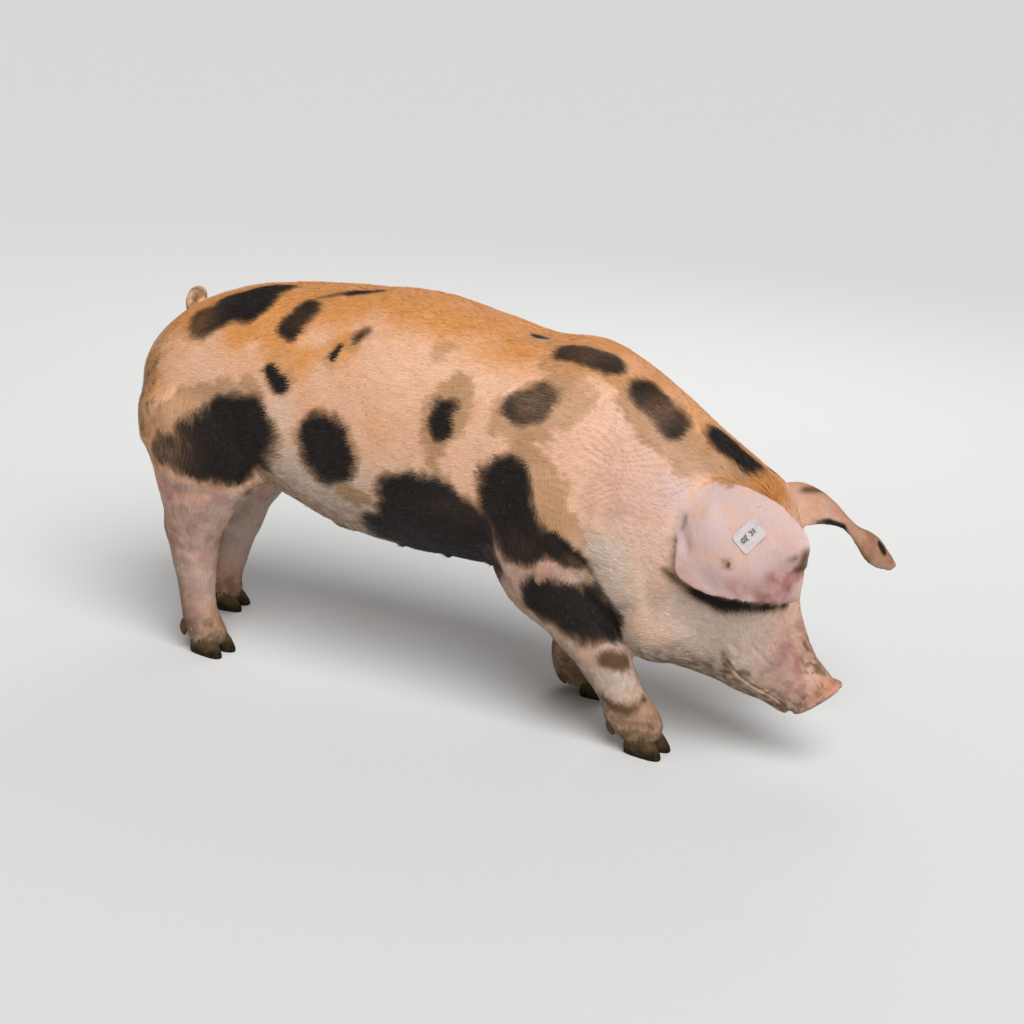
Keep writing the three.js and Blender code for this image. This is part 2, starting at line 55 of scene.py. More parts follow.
# The same forms as the solids have. Side profile: over and under as (x, z), half-width, the share
# of the height at which the body is widest, and how square its sides are.
W, N, C, S = 206, 150, 104, 43
TORSO = [
    ((-573, 618), (-579, 540), W * 0.32, 0.5, 2.1),
    ((-546, 655), (-574, 466), W * 0.61, 0.5, 2.1),
    ((-490, 699), (-527, 406), W * 0.8, 0.5, 2.1),
    ((-405, 734), (-420, 374), W * 0.89, 0.5, 2.1),
    ((-297, 756), (-290, 352), W * 0.94, 0.5, 2.2),
    ((-150, 771), (-140, 302), W * 0.97, 0.5, 2.25),
    ((0, 778), (10, 283), W, 0.5, 2.25),
    ((130, 757), (150, 284), W, 0.5, 2.25),
    ((240, 738), (262, 284), W * 0.97, 0.5, 2.2),
    ((350, 741), (345, 256), W * 0.92, 0.5, 2.1),
    ((440, 706), (410, 222), N * 1.16, 0.5, 2.1),
    ((520, 659), (466, 180), N * 1.05, 0.47, 2.1),
    ((600, 607), (520, 161), N * 0.97, 0.45, 2.1),
    ((668, 564), (573, 153), N * 0.93, 0.45, 2.1),
    ((722, 528), (612, 147), C * 1.24, 0.47, 2.1),
    ((756, 450), (650, 143), C * 1.14, 0.43, 2.2),
    ((767, 378), (680, 135), C, 0.38, 2.3),
    ((767, 318), (706, 127), C * 0.82, 0.4, 2.3),
    ((786, 263), (730, 118), C * 0.6, 0.45, 2.3),
    ((813, 221), (750, 106), S * 1.1, 0.5, 2.1),
    ((839, 194), (771, 99), S, 0.5, 2.1),
]
NECK_STATION, POLL_STATION, LAST_STATION = 10, 14, 20
DISC_OVER, DISC_UNDER, DISC_WIDE = (870, 172), (789, 103), 45
DISC_PROFILE = [(34, 0.8), (17, 0.84), (10, 0.97), (6, 1.0), (3, 0.99), (1, 0.95), (0, 0.86)]
NOSTRIL = {"aside": 16, "up": 4, "wide": 8, "tall": 11, "deep": 15}

# Limbs: per joint the axis's distance from the middle plane, and half-sizes in front, behind, aside.
HIND_SIZES = [
    (76, 80, 88, 62), (112, 128, 154, 94), (119, 134, 152, 91), (125, 98, 98, 70), (128, 72, 70, 51),
    (129, 54, 59, 41), (130, 48, 52, 39), (130, 40, 44, 33), (127, 35, 41, 30), (122, 37, 40, 34),
    (118, 40, 38, 36), (116, 30, 28, 28),
]
FORE_SIZES = [
    (86, 70, 70, 52), (124, 118, 112, 80), (128, 118, 108, 80), (126, 74, 92, 64), (122, 60, 56, 50),
    (120, 53, 46, 43), (119, 54, 44, 42), (118, 48, 38, 36), (117, 50, 46, 38), (116, 50, 38, 38),
    (118, 30, 28, 28),
]
# Where the joints stand, as (x, z) and how far inwards of the usual place.
LEGS = {
    "hindleg_right": (RIGHT, HIND_SIZES, [
        (-410, 610, 0), (-412, 515, 0), (-408, 430, 0), (-424, 350, 0), (-431, 295, 0), (-433, 250, 0),
        (-431, 205, 0), (-426, 160, 0), (-423, 112, 0), (-418, 70, 0), (-408, 40, 0), (-404, 22, 0)]),
    "hindleg_left": (LEFT, HIND_SIZES, [
        (-410, 610, 0), (-416, 515, 0), (-420, 430, 0), (-441, 350, 0), (-457, 295, 0), (-470, 250, 0),
        (-481, 205, 0), (-493, 160, 0), (-503, 112, 0), (-515, 70, 0), (-515, 40, 0), (-513, 22, 0)]),
    "foreleg_right": (RIGHT, FORE_SIZES, [
        (270, 625, 0), (300, 510, 0), (306, 410, 0), (328, 318, 0), (380, 246, 0), (427, 192, 3),
        (450, 160, 5), (477, 112, 10), (498, 74, 15), (520, 42, 18), (526, 22, 20)]),
    "foreleg_left": (LEFT, FORE_SIZES, [
        (260, 625, 0), (290, 510, 0), (286, 415, 0), (280, 335, 0), (282, 265, 4), (290, 208, 8),
        (290, 176, 8), (293, 118, 8), (304, 62, 8), (334, 36, 8), (346, 22, 8)]),
}
# Ears: per station of the leaf, from root to tip, a point on its back edge, middle and front edge.
# Most of these points are a fitting script's output, changed by a few millimetres, and aren't derived
# from named sizes.
EARS = {
    "ear_right": (RIGHT, [
        ((604, -84, 512), (645, -66, 520), (724, -80, 508)),
        ((588, -103, 517), (650, -96, 541), (752, -114, 527)),
        ((580, -112, 508), (673, -124, 526), (776, -142, 526)),
        ((573, -133, 483), (690, -156, 504), (806, -163, 513)),
        ((571, -142, 454), (703, -180, 475), (826, -178, 488)),
        ((578, -152, 425), (711, -189, 441), (827, -189, 460)),
        ((580, -160, 404), (717, -192, 414), (821, -192, 442)),
        ((588, -167, 386), (721, -192, 391), (824, -196, 420)),
        ((614, -175, 374), (723, -192, 376), (823, -198, 401)),
        ((646, -180, 371), (725, -192, 370), (812, -197, 393))]),
    "ear_left": (LEFT, [
        ((694, 96, 424), (680, 84, 494), (742, 54, 438)), ((708, 188, 397), (718, 132, 496), (760, 62, 445)),
        ((733, 263, 388), (752, 158, 480), (779, 80, 446)),
        ((751, 279, 386), (777, 172, 459), (794, 100, 441)),
        ((767, 281, 382), (798, 181, 437), (806, 118, 433)),
        ((786, 283, 368), (821, 191, 417), (821, 134, 415)),
        ((805, 276, 349), (842, 201, 407), (836, 144, 391)),
        ((827, 258, 335), (864, 207, 392), (850, 154, 368)),
        ((852, 242, 331), (881, 210, 372), (866, 172, 352)),
        ((887, 214, 340), (896, 210, 350), (888, 196, 342))]),
}
# Folds of the ears: place along (0 root, 1 tip) and across (-1 back edge, 1 front edge), the spread
# each way, and depth.
EAR_FOLDS = {
    "ear_right": [
        (0.63, 1.0, 0.055, 0.2, 15), (0.68, 0.84, 0.055, 0.12, 11), (0.77, 0.70, 0.06, 0.08, 8),
        (0.885, 0.62, 0.09, 0.07, 7), (0.86, 0.88, 0.11, 0.14, -4), (0.39, -0.95, 0.06, 0.08, 8),
        (0.50, -0.84, 0.07, 0.08, 6), (0.41, 0.12, 0.12, 0.42, 5.5), (0.64, -0.3, 0.12, 0.3, -3),
        (0.73, -0.55, 0.11, 0.16, 3), (0.33, -0.5, 0.09, 0.15, -3), (0.82, 0.2, 0.1, 0.12, 3)],
    "ear_left": [(0.3, 0.5, 0.2, 0.2, 3), (0.86, 0.1, 0.1, 0.3, 3)],
}
EAR_THICKNESS = 5.2
FAT = 4.4  # how much thicker the ears are while the voxels are made
EAR_RIM = 0.72  # thickness of its edges, as a share of the middle's
EAR_ROOT = 16  # how much thicker the gristle at its root is
TAIL = [
    ((-505, 0, 640), 16.8), ((-526, 2, 664), 15), ((-532, 5, 688), 13), ((-529, 14, 703), 11.5),
    ((-523, 25, 702), 10.5), ((-521, 29, 684), 9), ((-524, 28, 664), 5.5),
]
# Rounded masses: middle, half-sizes and pitch.
MASSES = [
    ((-140, 0, 304), (58, 26, 24), -10),
    ((556, 54, 262), (116, 94, 86), -24),
    ((556, -54, 262), (116, 94, 86), -24),
]
# The ear tag's face: its middle, and the ways along its number, up across it and out of it.
TAG_FACE = (717.4, -178.6, 486.9), (0.59, 0.2, 0.78), (-0.79, 0.34, 0.51), (-0.16, -0.92, 0.36)
EYE = {"x": 738, "aside": 83, "z": 374, "radius": 13}
SLIT = {"half": 11.2, "up": 5.2, "down": 3.6}  # the opening between an eye's lids

# How widely each form runs into its neighbours.
BLEND = {"torso": 99, "hindleg": 42, "foreleg": 34, "ear": 15, "tail": 9, "mass": 40, "disc": 4}

REACH = 45  # how far a crease is felt at most

# ---------------------------------------------------------------- curves and lofts


def curve(points, share):
    """Points of a smooth centripetal curve at shares of its length from 0 to 1."""
    p = np.asarray(points, float)
    p = np.vstack([2 * p[0] - p[1], p, 2 * p[-1] - p[-2]])
    place = np.asarray(share, float) * (len(points) - 1)
    i = np.minimum(place.astype(int), len(points) - 2)
    t = (place - i)[:, None]
    a, b, c, d = p[i], p[i + 1], p[i + 2], p[i + 3]
    u, v, w = [np.maximum(((n - m) ** 2).sum(1, keepdims=True) ** 0.25, 1e-4)
               for m, n in ((a, b), (b, c), (c, d))]
    start = ((b - a) / u - (c - a) / (u + v) + (c - b) / v) * v
    end = ((c - b) / v - (d - b) / (v + w) + (d - c) / w) * v
    return (b + start * t + (3 * (c - b) - 2 * start - end) * t**2
            + (2 * (b - c) + start + end) * t**3)


def unit(v):
    return v / np.maximum(np.linalg.norm(v, axis=-1, keepdims=True), 1e-9)


def sections(middle, up, down, side, square, around):
    """Rings of a body: up, down and side are half-axes, and the first point of a ring is its lowest."""
    angle = np.linspace(0, 2 * np.pi, around, endpoint=False) - np.pi / 2
    square = np.broadcast_to(np.asarray(square, float).reshape(-1, 1), (len(middle), 1))

    def press(value):
        return np.sign(value) * np.abs(value) ** (2 / square)

    rise, run = press(np.sin(angle))[..., None], press(np.cos(angle))[..., None]
    return middle[:, None] + np.where(rise > 0, up[:, None], down[:, None]) * rise + side[:, None] * run


def loft(name, rings, way=1):
    """A closed form through rings. Each corner of its triangles knows its place along and around,
    and each point the lie of the hair, along the form (way 1) or against it (way -1)."""
    count, around = rings.shape[:2]
    points = np.vstack([rings.reshape(-1, 3), rings[0].mean(0), rings[-1].mean(0)])
    lie = np.gradient(rings, axis=0).reshape(-1, 3) * way
    lie = unit(np.vstack([lie, lie[:around].mean(0), lie[-around:].mean(0)]))
    r, i = np.meshgrid(np.arange(count - 1), np.arange(around), indexing="ij")
    r, i = r.ravel(), i.ravel()
    j = (i + 1) % around
    a, b, c, d = r * around + i, r * around + j, (r + 1) * around + j, (r + 1) * around + i
    s0, s1, t0, t1 = r / (count - 1), (r + 1) / (count - 1), i / around, (i + 1) / around
    corners = [np.stack([s, t], 1) for s, t in ((s0, t0), (s0, t1), (s1, t1), (s1, t0))]
    faces = [np.stack([a, b, c], 1), np.stack([a, c, d], 1)]
    places = [np.stack([corners[k] for k in three], 1) for three in ((0, 1, 2), (0, 2, 3))]
    ring = np.arange(around)
    turn = (ring + 1) % around
    for hub, start, s, flip in ((len(points) - 2, 0, 0.0, 1),
            (len(points) - 1, (count - 1) * around, 1.0, 0)):
        edge = [start + ring, start + turn]
        rim = [ring / around, (ring + 1) / around]
        if flip:
            edge, rim = edge[::-1], rim[::-1]
        faces.append(np.stack([np.full(around, hub), *edge], 1))
        middle = (rim[0] + rim[1]) / 2
        places.append(np.stack([np.stack([np.full(around, s), t], 1) for t in (middle, *rim)], 1))
    faces, places = np.vstack(faces), np.vstack(places)
    p = points[faces]
    if (p[:, 0] * np.cross(p[:, 1], p[:, 2])).sum() < 0:
        faces, places = faces[:, ::-1], places[:, ::-1]
    return {"name": name, "points": points, "faces": faces, "places": places, "lie": lie}


def torso():
    share = np.linspace(0, 1, 260)
    over = curve([(o[0], w, o[1]) for o, u, w, h, q in TORSO], share)
    under = curve([(u[0], 0, u[1]) for o, u, w, h, q in TORSO], share)
    shape = curve([(h, 0, q) for o, u, w, h, q in TORSO], share)
    side = np.zeros_like(over)
    side[:, 1] = over[:, 1] - DEPTH
    top = over * (1, 0, 1)
    middle = under + (top - under) * shape[:, :1]
    up, down = [unit(v) * (np.linalg.norm(v, axis=1, keepdims=True) - DEPTH)
                for v in (top - middle, middle - under)]
    return loft("torso", sections(middle, up, down, side, shape[:, 2], 144), -1)


def limb(name):
    side, sizes, joints = LEGS[name]
    share = np.linspace(0, 1, 150)
    axis = curve([(x, side * (size[0] - inwards), z) for (x, z, inwards), size in zip(joints, sizes)], share)
    front, wide, back = (curve([(f, w, b) for _, f, b, w in sizes], share) - DEPTH).T[..., None]
    along = unit(np.gradient(axis, axis=0))
    forward = unit(np.stack([-along[:, 2], 0 * share, along[:, 0]], 1))
    across = np.array([0.0, 1.0, 0.0]) * wide
    return loft(name, sections(axis, forward * front, forward * back, across, 2.1, 64))


def ear(name, fat=0):
    side, leaf = EARS[name]
    share = np.linspace(0, 1, 90)
    behind, middle, front = [curve([station[k] for station in leaf], share)[:, None] for k in range(3)]
    aside = np.sin(np.linspace(-1, 1, 42) * np.pi / 2)[None, :, None]
    layer = middle + (front - behind) / 2 * aside + ((front + behind) / 2 - middle) * aside**2

    def outwards():
        return unit(np.cross(np.gradient(layer, axis=1), np.gradient(layer, axis=0))) * side

    dent = sum(deep * np.exp(-(((share[:, None, None] - at) / long) ** 2) - ((aside - over) / wide) ** 2)
               for at, over, long, wide, deep in EAR_FOLDS[name])
    layer = layer - outwards() * dent
    thick = EAR_THICKNESS * (EAR_RIM + (1 - EAR_RIM) * np.sqrt(1 - aside**2)) + fat
    thick = thick + EAR_ROOT * np.maximum(0, 1 - share / 0.3)[:, None, None] ** 1.5 * (1 - aside**2)
    faces = [layer + outwards() * thick / 2 * sign for sign in (1, -1)]
    return loft(name, np.concatenate([faces[0], faces[1][:, ::-1]], 1))


def tail():
    share = np.linspace(0, 1, 60)
    line = curve([at for at, _ in TAIL], share)
    radius = curve([(r, 0, 0) for _, r in TAIL], share)[:, :1] - DEPTH / 2
    ahead = unit(np.gradient(line, axis=0))
    side = unit(np.array([0.0, 1.0, 0.0]) - ahead * ahead[:, 1:2])
    up = np.cross(side, ahead) * radius
    return loft("tail", sections(line, up, up, side * radius, 2, 32))


def disc_frame():
    """The snout disc's middle, and the ways up its face, aside and out of it."""
    over, under = [np.array([x, 0.0, z]) for x, z in (DISC_OVER, DISC_UNDER)]
    up = unit(over - under)
    return (over + under) / 2, up, np.array([0.0, 1.0, 0.0]), np.array([up[2], 0.0, -up[0]])


def disc():
    middle, up, side, out = disc_frame()
    tall = np.linalg.norm(np.subtract(DISC_OVER, DISC_UNDER)) / 2
    profile = curve([(depth, size, 0) for depth, size in DISC_PROFILE], np.linspace(0, 1, 24))
    ups = up * tall * profile[:, 1:2]
    rings = sections(middle - out * profile[:, :1], ups, ups, side * DISC_WIDE * profile[:, 1:2], 2.2, 64)
    return loft("disc", rings, -1)


def mass(at, size, pitch):
    turn = np.linspace(0, np.pi, 30)[1:-1]
    ring = np.linspace(0, 2 * np.pi, 40, endpoint=False)
    ball = np.stack([-np.cos(turn)[:, None] + 0 * ring, np.sin(turn)[:, None] * np.cos(ring),
                     np.sin(turn)[:, None] * np.sin(ring)], -1) * (np.array(size, float) - DEPTH)
    c, s = math.cos(math.radians(pitch)), math.sin(math.radians(pitch))
    x, z = ball[..., 0].copy(), ball[..., 2].copy()
    ball[..., 0], ball[..., 2] = c * x + s * z, c * z - s * x
    return loft("mass", ball + np.array(at, float), -1)


# ---------------------------------------------------------------- meshes and their numbers


def mesh_of(name, points, faces):
    """A Blender mesh in millimetres about the animal's origin."""
    mesh = bpy.data.meshes.new(name)
    mesh.from_pydata(np.asarray(points).tolist(), [], np.asarray(faces).tolist())
    mesh.update()
    return mesh


def coords(mesh):
    points = np.empty(len(mesh.vertices) * 3, np.float32)
    mesh.vertices.foreach_get("co", points)
    return points.reshape(-1, 3).astype(float)


def normals(mesh):
    found = np.empty(len(mesh.vertices) * 3, np.float32)
    mesh.vertices.foreach_get("normal", found)
    return found.reshape(-1, 3).astype(float)


def move(mesh, points):
    mesh.vertices.foreach_set("co", np.ascontiguousarray(points, np.float32).ravel())
    mesh.update()


def edges_of(mesh):
    edges = np.empty(len(mesh.edges) * 2, np.int32)
    mesh.edges.foreach_get("vertices", edges)
    return edges.reshape(-1, 2)


def relax(values, edges, weight, times):
    """Values at the vertices drawn towards the mean of their neighbours'."""
    count = len(values)
    degree = np.maximum(np.bincount(edges.ravel(), minlength=count), 1)[:, None]
    a, b = edges.T
    for _ in range(times):
        total = np.stack([np.bincount(a, column[b], count) + np.bincount(b, column[a], count)
                          for column in values.T], 1)
        values = values + weight * (total / degree - values)
    return values


def nearest(tree, points):
    places, faces = np.empty((len(points), 3)), np.empty(len(points), int)
    for k, point in enumerate(points.tolist()):
        place, _, face, _ = tree.find_nearest(point)
        places[k], faces[k] = place, face
    return places, faces


def join(forms):
    """The forms' triangles as one: points, faces and the form that each face belongs to."""
    starts = np.cumsum([0] + [len(f["points"]) for f in forms])
    faces = np.vstack([f["faces"] + start for f, start in zip(forms, starts)])
    owner = np.concatenate([np.full(len(f["faces"]), k) for k, f in enumerate(forms)])
    return np.vstack([f["points"] for f in forms]), faces, owner


def remeshed(mesh, voxel):
    """One outer surface in place of overlapping closed ones."""
    thing = bpy.data.objects.new("union", mesh)
    bpy.context.scene.collection.objects.link(thing)
    modifier = thing.modifiers.new("voxels", "REMESH")
    modifier.mode = "VOXEL"
    modifier.voxel_size = voxel
    bpy.context.view_layer.update()
    made = bpy.data.meshes.new_from_object(thing.evaluated_get(bpy.context.evaluated_depsgraph_get()))
    bpy.data.objects.remove(thing)
    return made


def refined(mesh, chosen):
    """Each face whose corners are all chosen cut in four."""
    work = bmesh.new()
    work.from_mesh(mesh)
    work.verts.ensure_lookup_table()
    cut = [e for e in work.edges if chosen[e.verts[0].index] and chosen[e.verts[1].index]]
    bmesh.ops.subdivide_edges(work, edges=cut, cuts=1, use_grid_fill=True)
    work.to_mesh(mesh)
    work.free()
    mesh.update()
    return mesh


def ripple(points, length, seed, waves=14):
    """Soft noise about 0, with a spread of about 1 and bumps of about that length."""
    rng = np.random.default_rng(seed)
    ways = unit(rng.normal(size=(waves, 3))) * rng.uniform(0.6, 1.6, (waves, 1)) * 2 * np.pi / length
    return np.sin(points @ ways.T + rng.uniform(0, 2 * np.pi, waves)).sum(1) / math.sqrt(waves / 2)


def smooth_step(low, high, value):
    t = np.clip((value - low) / (high - low), 0, 1)
    return t * t * (3 - 2 * t)


# ---------------------------------------------------------------- the skin's shape

CHARTED = [torso(), *[limb(name) for name in LEGS], *[ear(name) for name in EARS], tail(), disc()]
CHART_NAMES = [form["name"] for form in CHARTED]


def base_skin():
    """The union of the forms, with fillets where they meet."""
    masses = [mass(*m) for m in MASSES]
    fat = [ear(f["name"], FAT) if f["name"] in EARS else f for f in CHARTED]
    mesh = remeshed(mesh_of("forms", *join(fat + masses)[:2]), VOXEL)
    forms = CHARTED + masses
    points, faces, owner = join(forms)
    edges = edges_of(mesh)
    tree = BVHTree.FromPolygons(points.tolist(), faces.tolist())
    skin, face = nearest(tree, relax(coords(mesh), edges, 0.5, 3))
    part = owner[face]
    blend = np.array([BLEND[f["name"].split("_")[0]] for f in forms], float)[part]
    a, b = edges.T
    meet = part[a] != part[b]
    reach = np.zeros(len(skin))
    for k in (a[meet], b[meet]):
        reach[k] = np.minimum(blend[a[meet]], blend[b[meet]])
    for _ in range(int(max(v for v in BLEND.values() if v < 99) / VOXEL)):
        spread = reach - VOXEL
        np.maximum.at(reach, a, spread[b])
        np.maximum.at(reach, b, spread[a])
    weight = relax(np.clip(reach / 24, 0, 1)[:, None], edges, 0.5, 4)
    skin = relax(skin, edges, 0.5 * weight, 70)
    move(mesh, relax(skin, edges, 0.35, 2))
    return mesh


def both_sides(at):
    return [np.array([at[0], side * at[1], at[2]], float) for side in ((RIGHT, LEFT) if at[1] else (LEFT,))]


def near(points, at, radius):
    return np.linalg.norm(points - at, axis=1) < radius


def line_distance(points, line):
    """Distance to a line through a few points, and the share of its length at the nearest place."""
    line = curve(line, np.linspace(0, 1, max(30, 2 * len(line))))
    best, share = np.full(len(points), 1e9), np.zeros(len(points))
    close = ((points > line.min(0) - REACH) & (points < line.max(0) + REACH)).all(1).nonzero()[0]
    found = points[close]
    for k, (a, b) in enumerate(zip(line[:-1], line[1:])):
        t = np.clip(((found - a) @ (b - a)) / ((b - a) @ (b - a)), 0, 1)
        d = np.linalg.norm(found - a - t[:, None] * (b - a), axis=1)
        closer = d < best[close]
        best[close[closer]], share[close[closer]] = d[closer], (k + t[closer]) / (len(line) - 1)
    return best, share


# Swellings: middle, half-sizes, height and if the other side has it too.
SWELLINGS = [
    ((250, 175, 600), (60, 60, 95), 5, True),       # shoulder blade
    ((330, -190, 480), (45, 60, 60), 5, True),      # point of the shoulder
    ((215, 190, 440), (40, 60, 50), 5, True),       # muscle over the elbow
    ((-330, 190, 600), (90, 60, 60), 4, True),      # hip muscle
    ((-470, 165, 520), (50, 70, 80), 4, True),      # seat
    ((-300, 190, 440), (40, 60, 55), 4, True),      # stifle
    ((738, 100, 374), (42, 34, 34), 6, True),       # rim of the eye's socket
    ((738, 100, 408), (26, 30, 13), 3.5, True),     # brow over the eye
    ((735, 100, 340), (26, 30, 14), 2.5, True),     # pouch under the eye
    ((700, 110, 300), (45, 40, 45), 4, True),       # cheek
    ((760, 60, 235), (30, 30, 22), 2.5, True),      # upper lip
    ((800, 34, 165), (20, 20, 20), 2, True),
    ((655, 90, 215), (45, 50, 35), 5, True),        # jowl behind the mouth
    ((-418, -165, 292), (42, 45, 46), 7, False),    # gaskins
    ((-450, 160, 300), (40, 45, 44), 7, False),
    ((-488, -130, 258), (20, 34, 26), 7, False),    # points of the hocks
    ((-534, 130, 252), (20, 34, 26), 7, False),
    ((360, -175, 330), (36, 40, 40), 5, False),     # forearms
    ((300, 165, 320), (36, 40, 46), 4, False),
    ((462, -150, 190), (22, 26, 24), 3, False),     # knees
    ((305, 140, 195), (20, 30, 24), 3, False),
    ((-130, 0, 292), (36, 20, 26), 5, False),       # sheath
]
MOUTH = [(674, -110, 236), (688, -106, 212), (706, -92, 188), (735, -64, 158), (765, -46, 133),
    (788, -30, 118)]
# Creases: line (right side, mirrored when paired), half-width, depth, and if it is on both sides.
CREASES = [
    ([(208, -206, 500), (204, -207, 430), (222, -198, 365), (258, -180, 318), (300, -150, 292)], 13,
    5, False),
    ([(198, 206, 490), (196, 206, 430), (206, 198, 370), (232, 178, 320), (262, 140, 292)], 13, 5, False),
    ([(-268, -196, 500), (-270, -198, 450), (-276, -186, 400), (-292, -160, 372)], 10, 6, True),
    ([(-500, -176, 376), (-450, -206, 358), (-390, -206, 354), (-325, -180, 364)], 13, 3, True),
    ([(-476, -150, 270), (-458, -165, 240), (-428, -171, 224), (-396, -163, 228),
    (-372, -140, 262)], 8, 3, False),
    ([(-520, 150, 270), (-498, 165, 240), (-468, 171, 224), (-436, 163, 228), (-412, 140, 262)], 8, 3, False),
    ([(-490, -112, 198), (-486, -132, 200), (-476, -152, 204)], 12, 5, False),
    ([(-540, 112, 196), (-536, 132, 198), (-526, 152, 202)], 12, 5, False),
    ([(352, -206, 436), (384, -190, 398), (412, -168, 355), (440, -142, 305), (468, -114, 246)], 8, 7, False),
    ([(290, 206, 426), (326, 186, 380), (352, 156, 330), (366, 124, 280)], 9, 5, False),
    ([(520, -150, 400), (530, -150, 320), (548, -146, 262)], 16, 2, True),
    ([(722, -112, 262), (742, -92, 232), (764, -72, 206)], 3, 1.8, True),
    ([(744, -92, 280), (768, -72, 250), (790, -50, 236)], 3.5, 1.8, True),
    ([(440, -150, 560), (446, -164, 500), (436, -166, 440)], 14, 2.5, True),
    ([(600, -146, 420), (588, -152, 340), (560, -140, 270), (524, -100, 216)], 16, 3, True),
    (MOUTH, 2.6, 2.2, True),
    ([(688, -116, 262), (700, -112, 240), (694, -108, 214)], 5, 2.5, True),
    ([(775, 40, 296), (783, 0, 290), (775, -40, 296)], 4, 1.6, False),
    ([(788, 38, 270), (796, 0, 262), (788, -38, 270)], 4, 2, False),
    ([(798, 38, 246), (808, 0, 236), (798, -38, 246)], 3.5, 2.2, False),
    ([(812, 38, 224), (822, 0, 214), (812, -38, 224)], 3.5, 2, False),
    ([(712, -112, 400), (708, -114, 376), (716, -110, 352)], 3, 1.6, True),
    ([(700, -120, 412), (694, -122, 378), (704, -116, 340)], 3.5, 1.6, True),
    ([(726, -106, 334), (744, -100, 326), (762, -88, 330)], 3, 1.8, True),
]
TEATS = [(x, 62, 0) for x in (-215, -110, -5, 95, 185, 265)]


def shaped(mesh):
    """Muscles, folds, teats, mouth, snout, and lids about the eyes."""
    for at, radius in [
            *[(e, 52) for e in both_sides((EYE["x"], 95, EYE["z"]))], (np.array([820, 0, 150.0]), 78)]:
        refined(mesh, near(coords(mesh), at, radius))
    for side in (RIGHT, LEFT):
        mouth = [(x, -side * y, z) for x, y, z in MOUTH]
        refined(mesh, line_distance(coords(mesh), mouth)[0] < 11)
    for at, radius in [
            *[(e, 30) for e in both_sides((EYE["x"], 92, EYE["z"]))], (np.array([836, 0, 140.0]), 56)]:
        refined(mesh, near(coords(mesh), at, radius))
    edges = edges_of(mesh)
    points = relax(coords(mesh), edges, 0.4, 2)
    move(mesh, points)
    out = normals(mesh)
    for middle, size, high, paired in SWELLINGS:
        for at in both_sides(middle) if paired else [np.array(middle, float)]:
            points = points + out * (high * np.exp(-(((points - at) / size) ** 2).sum(1)))[:, None]
    tree = BVHTree.FromPolygons(points.tolist(), [p.vertices[:] for p in mesh.polygons])
    for line, wide, deep, paired in CREASES:
        for flip in (1, -1) if paired else (1,):
            lying, _ = nearest(tree, curve([(x, flip * y, z) for x, y, z in line], np.linspace(0, 1, 14)))
            away, share = line_distance(points, lying)
            fade = smooth_step(0, 0.2, share) * smooth_step(0, 0.2, 1 - share)
            move_in = (deep * np.exp(-((away / wide) ** 2))
                       - 0.15 * deep * np.exp(-(((away - 2 * wide) / wide) ** 2)))
            points = points - out * (move_in * fade)[:, None]
    for x, y, _ in TEATS:
        for side in (RIGHT, LEFT):
            teat = np.hypot(points[:, 0] - x, points[:, 1] - side * y)
            below = points[:, 2] < 360
            points[:, 2] -= np.where(below, 7 * np.exp(-((teat / 7) ** 2)), 0)
    wrinkled = np.exp(-(((points - (440, 0, 540)) / (130, 400, 130)) ** 2).sum(1))
    height = points[:, 2] + 14 * ripple(points, 160, 5, 8)
    points = points + out * (0.7 * np.sin(height * 2 * np.pi / 13) * wrinkled)[:, None]
    points = points + out * (0.35 * ripple(points, 110, 3) + 0.06 * ripple(points, 26, 4))[:, None]
    points = lidded(nostrilled(points))
    move(mesh, points)
    return mesh


def nostrilled(points):
    middle, up, side, way = disc_frame()
    from_middle = points - middle
    height, aside, depth = from_middle @ up, from_middle @ side, from_middle @ way
    face = smooth_step(-16, -6, depth)
    pit = np.zeros(len(points))
    rim = np.zeros(len(points))
    for s in (RIGHT, LEFT):
        far = np.hypot((aside - s * NOSTRIL["aside"] - s * 0.15 * (height - NOSTRIL["up"])) / NOSTRIL["wide"],
                       (height - NOSTRIL["up"]) / NOSTRIL["tall"])
        pit += NOSTRIL["deep"] * smooth_step(1.12, 0.55, far)
        rim += 1.6 * np.exp(-(((far - 1.35) / 0.28) ** 2))
    across = np.hypot(aside / DISC_WIDE, height / 52)
    dish = 2.2 * np.exp(-((across / 0.5) ** 2)) - 1.5 * np.exp(-(((across - 0.86) / 0.13) ** 2))
    cleft = 2.5 * np.exp(-((aside / 5) ** 2)) * smooth_step(8, 40, np.abs(height))
    return points + way * (face * (rim - pit - dish - cleft))[:, None]


def eye_frame(side):
    """An eye's middle, the way it looks, the way along its slit and the way up across the slit."""
    middle = np.array([EYE["x"], side * EYE["aside"], EYE["z"]])
    look = unit(np.array([0.36, side * 0.92, 0.14]))
    along = np.array([0.80, 0.0, -0.45])
    along = unit(along - look * (along @ look))
    up = np.cross(look, along) * (1 if np.cross(look, along)[2] > 0 else -1)
    return middle, look, along, up


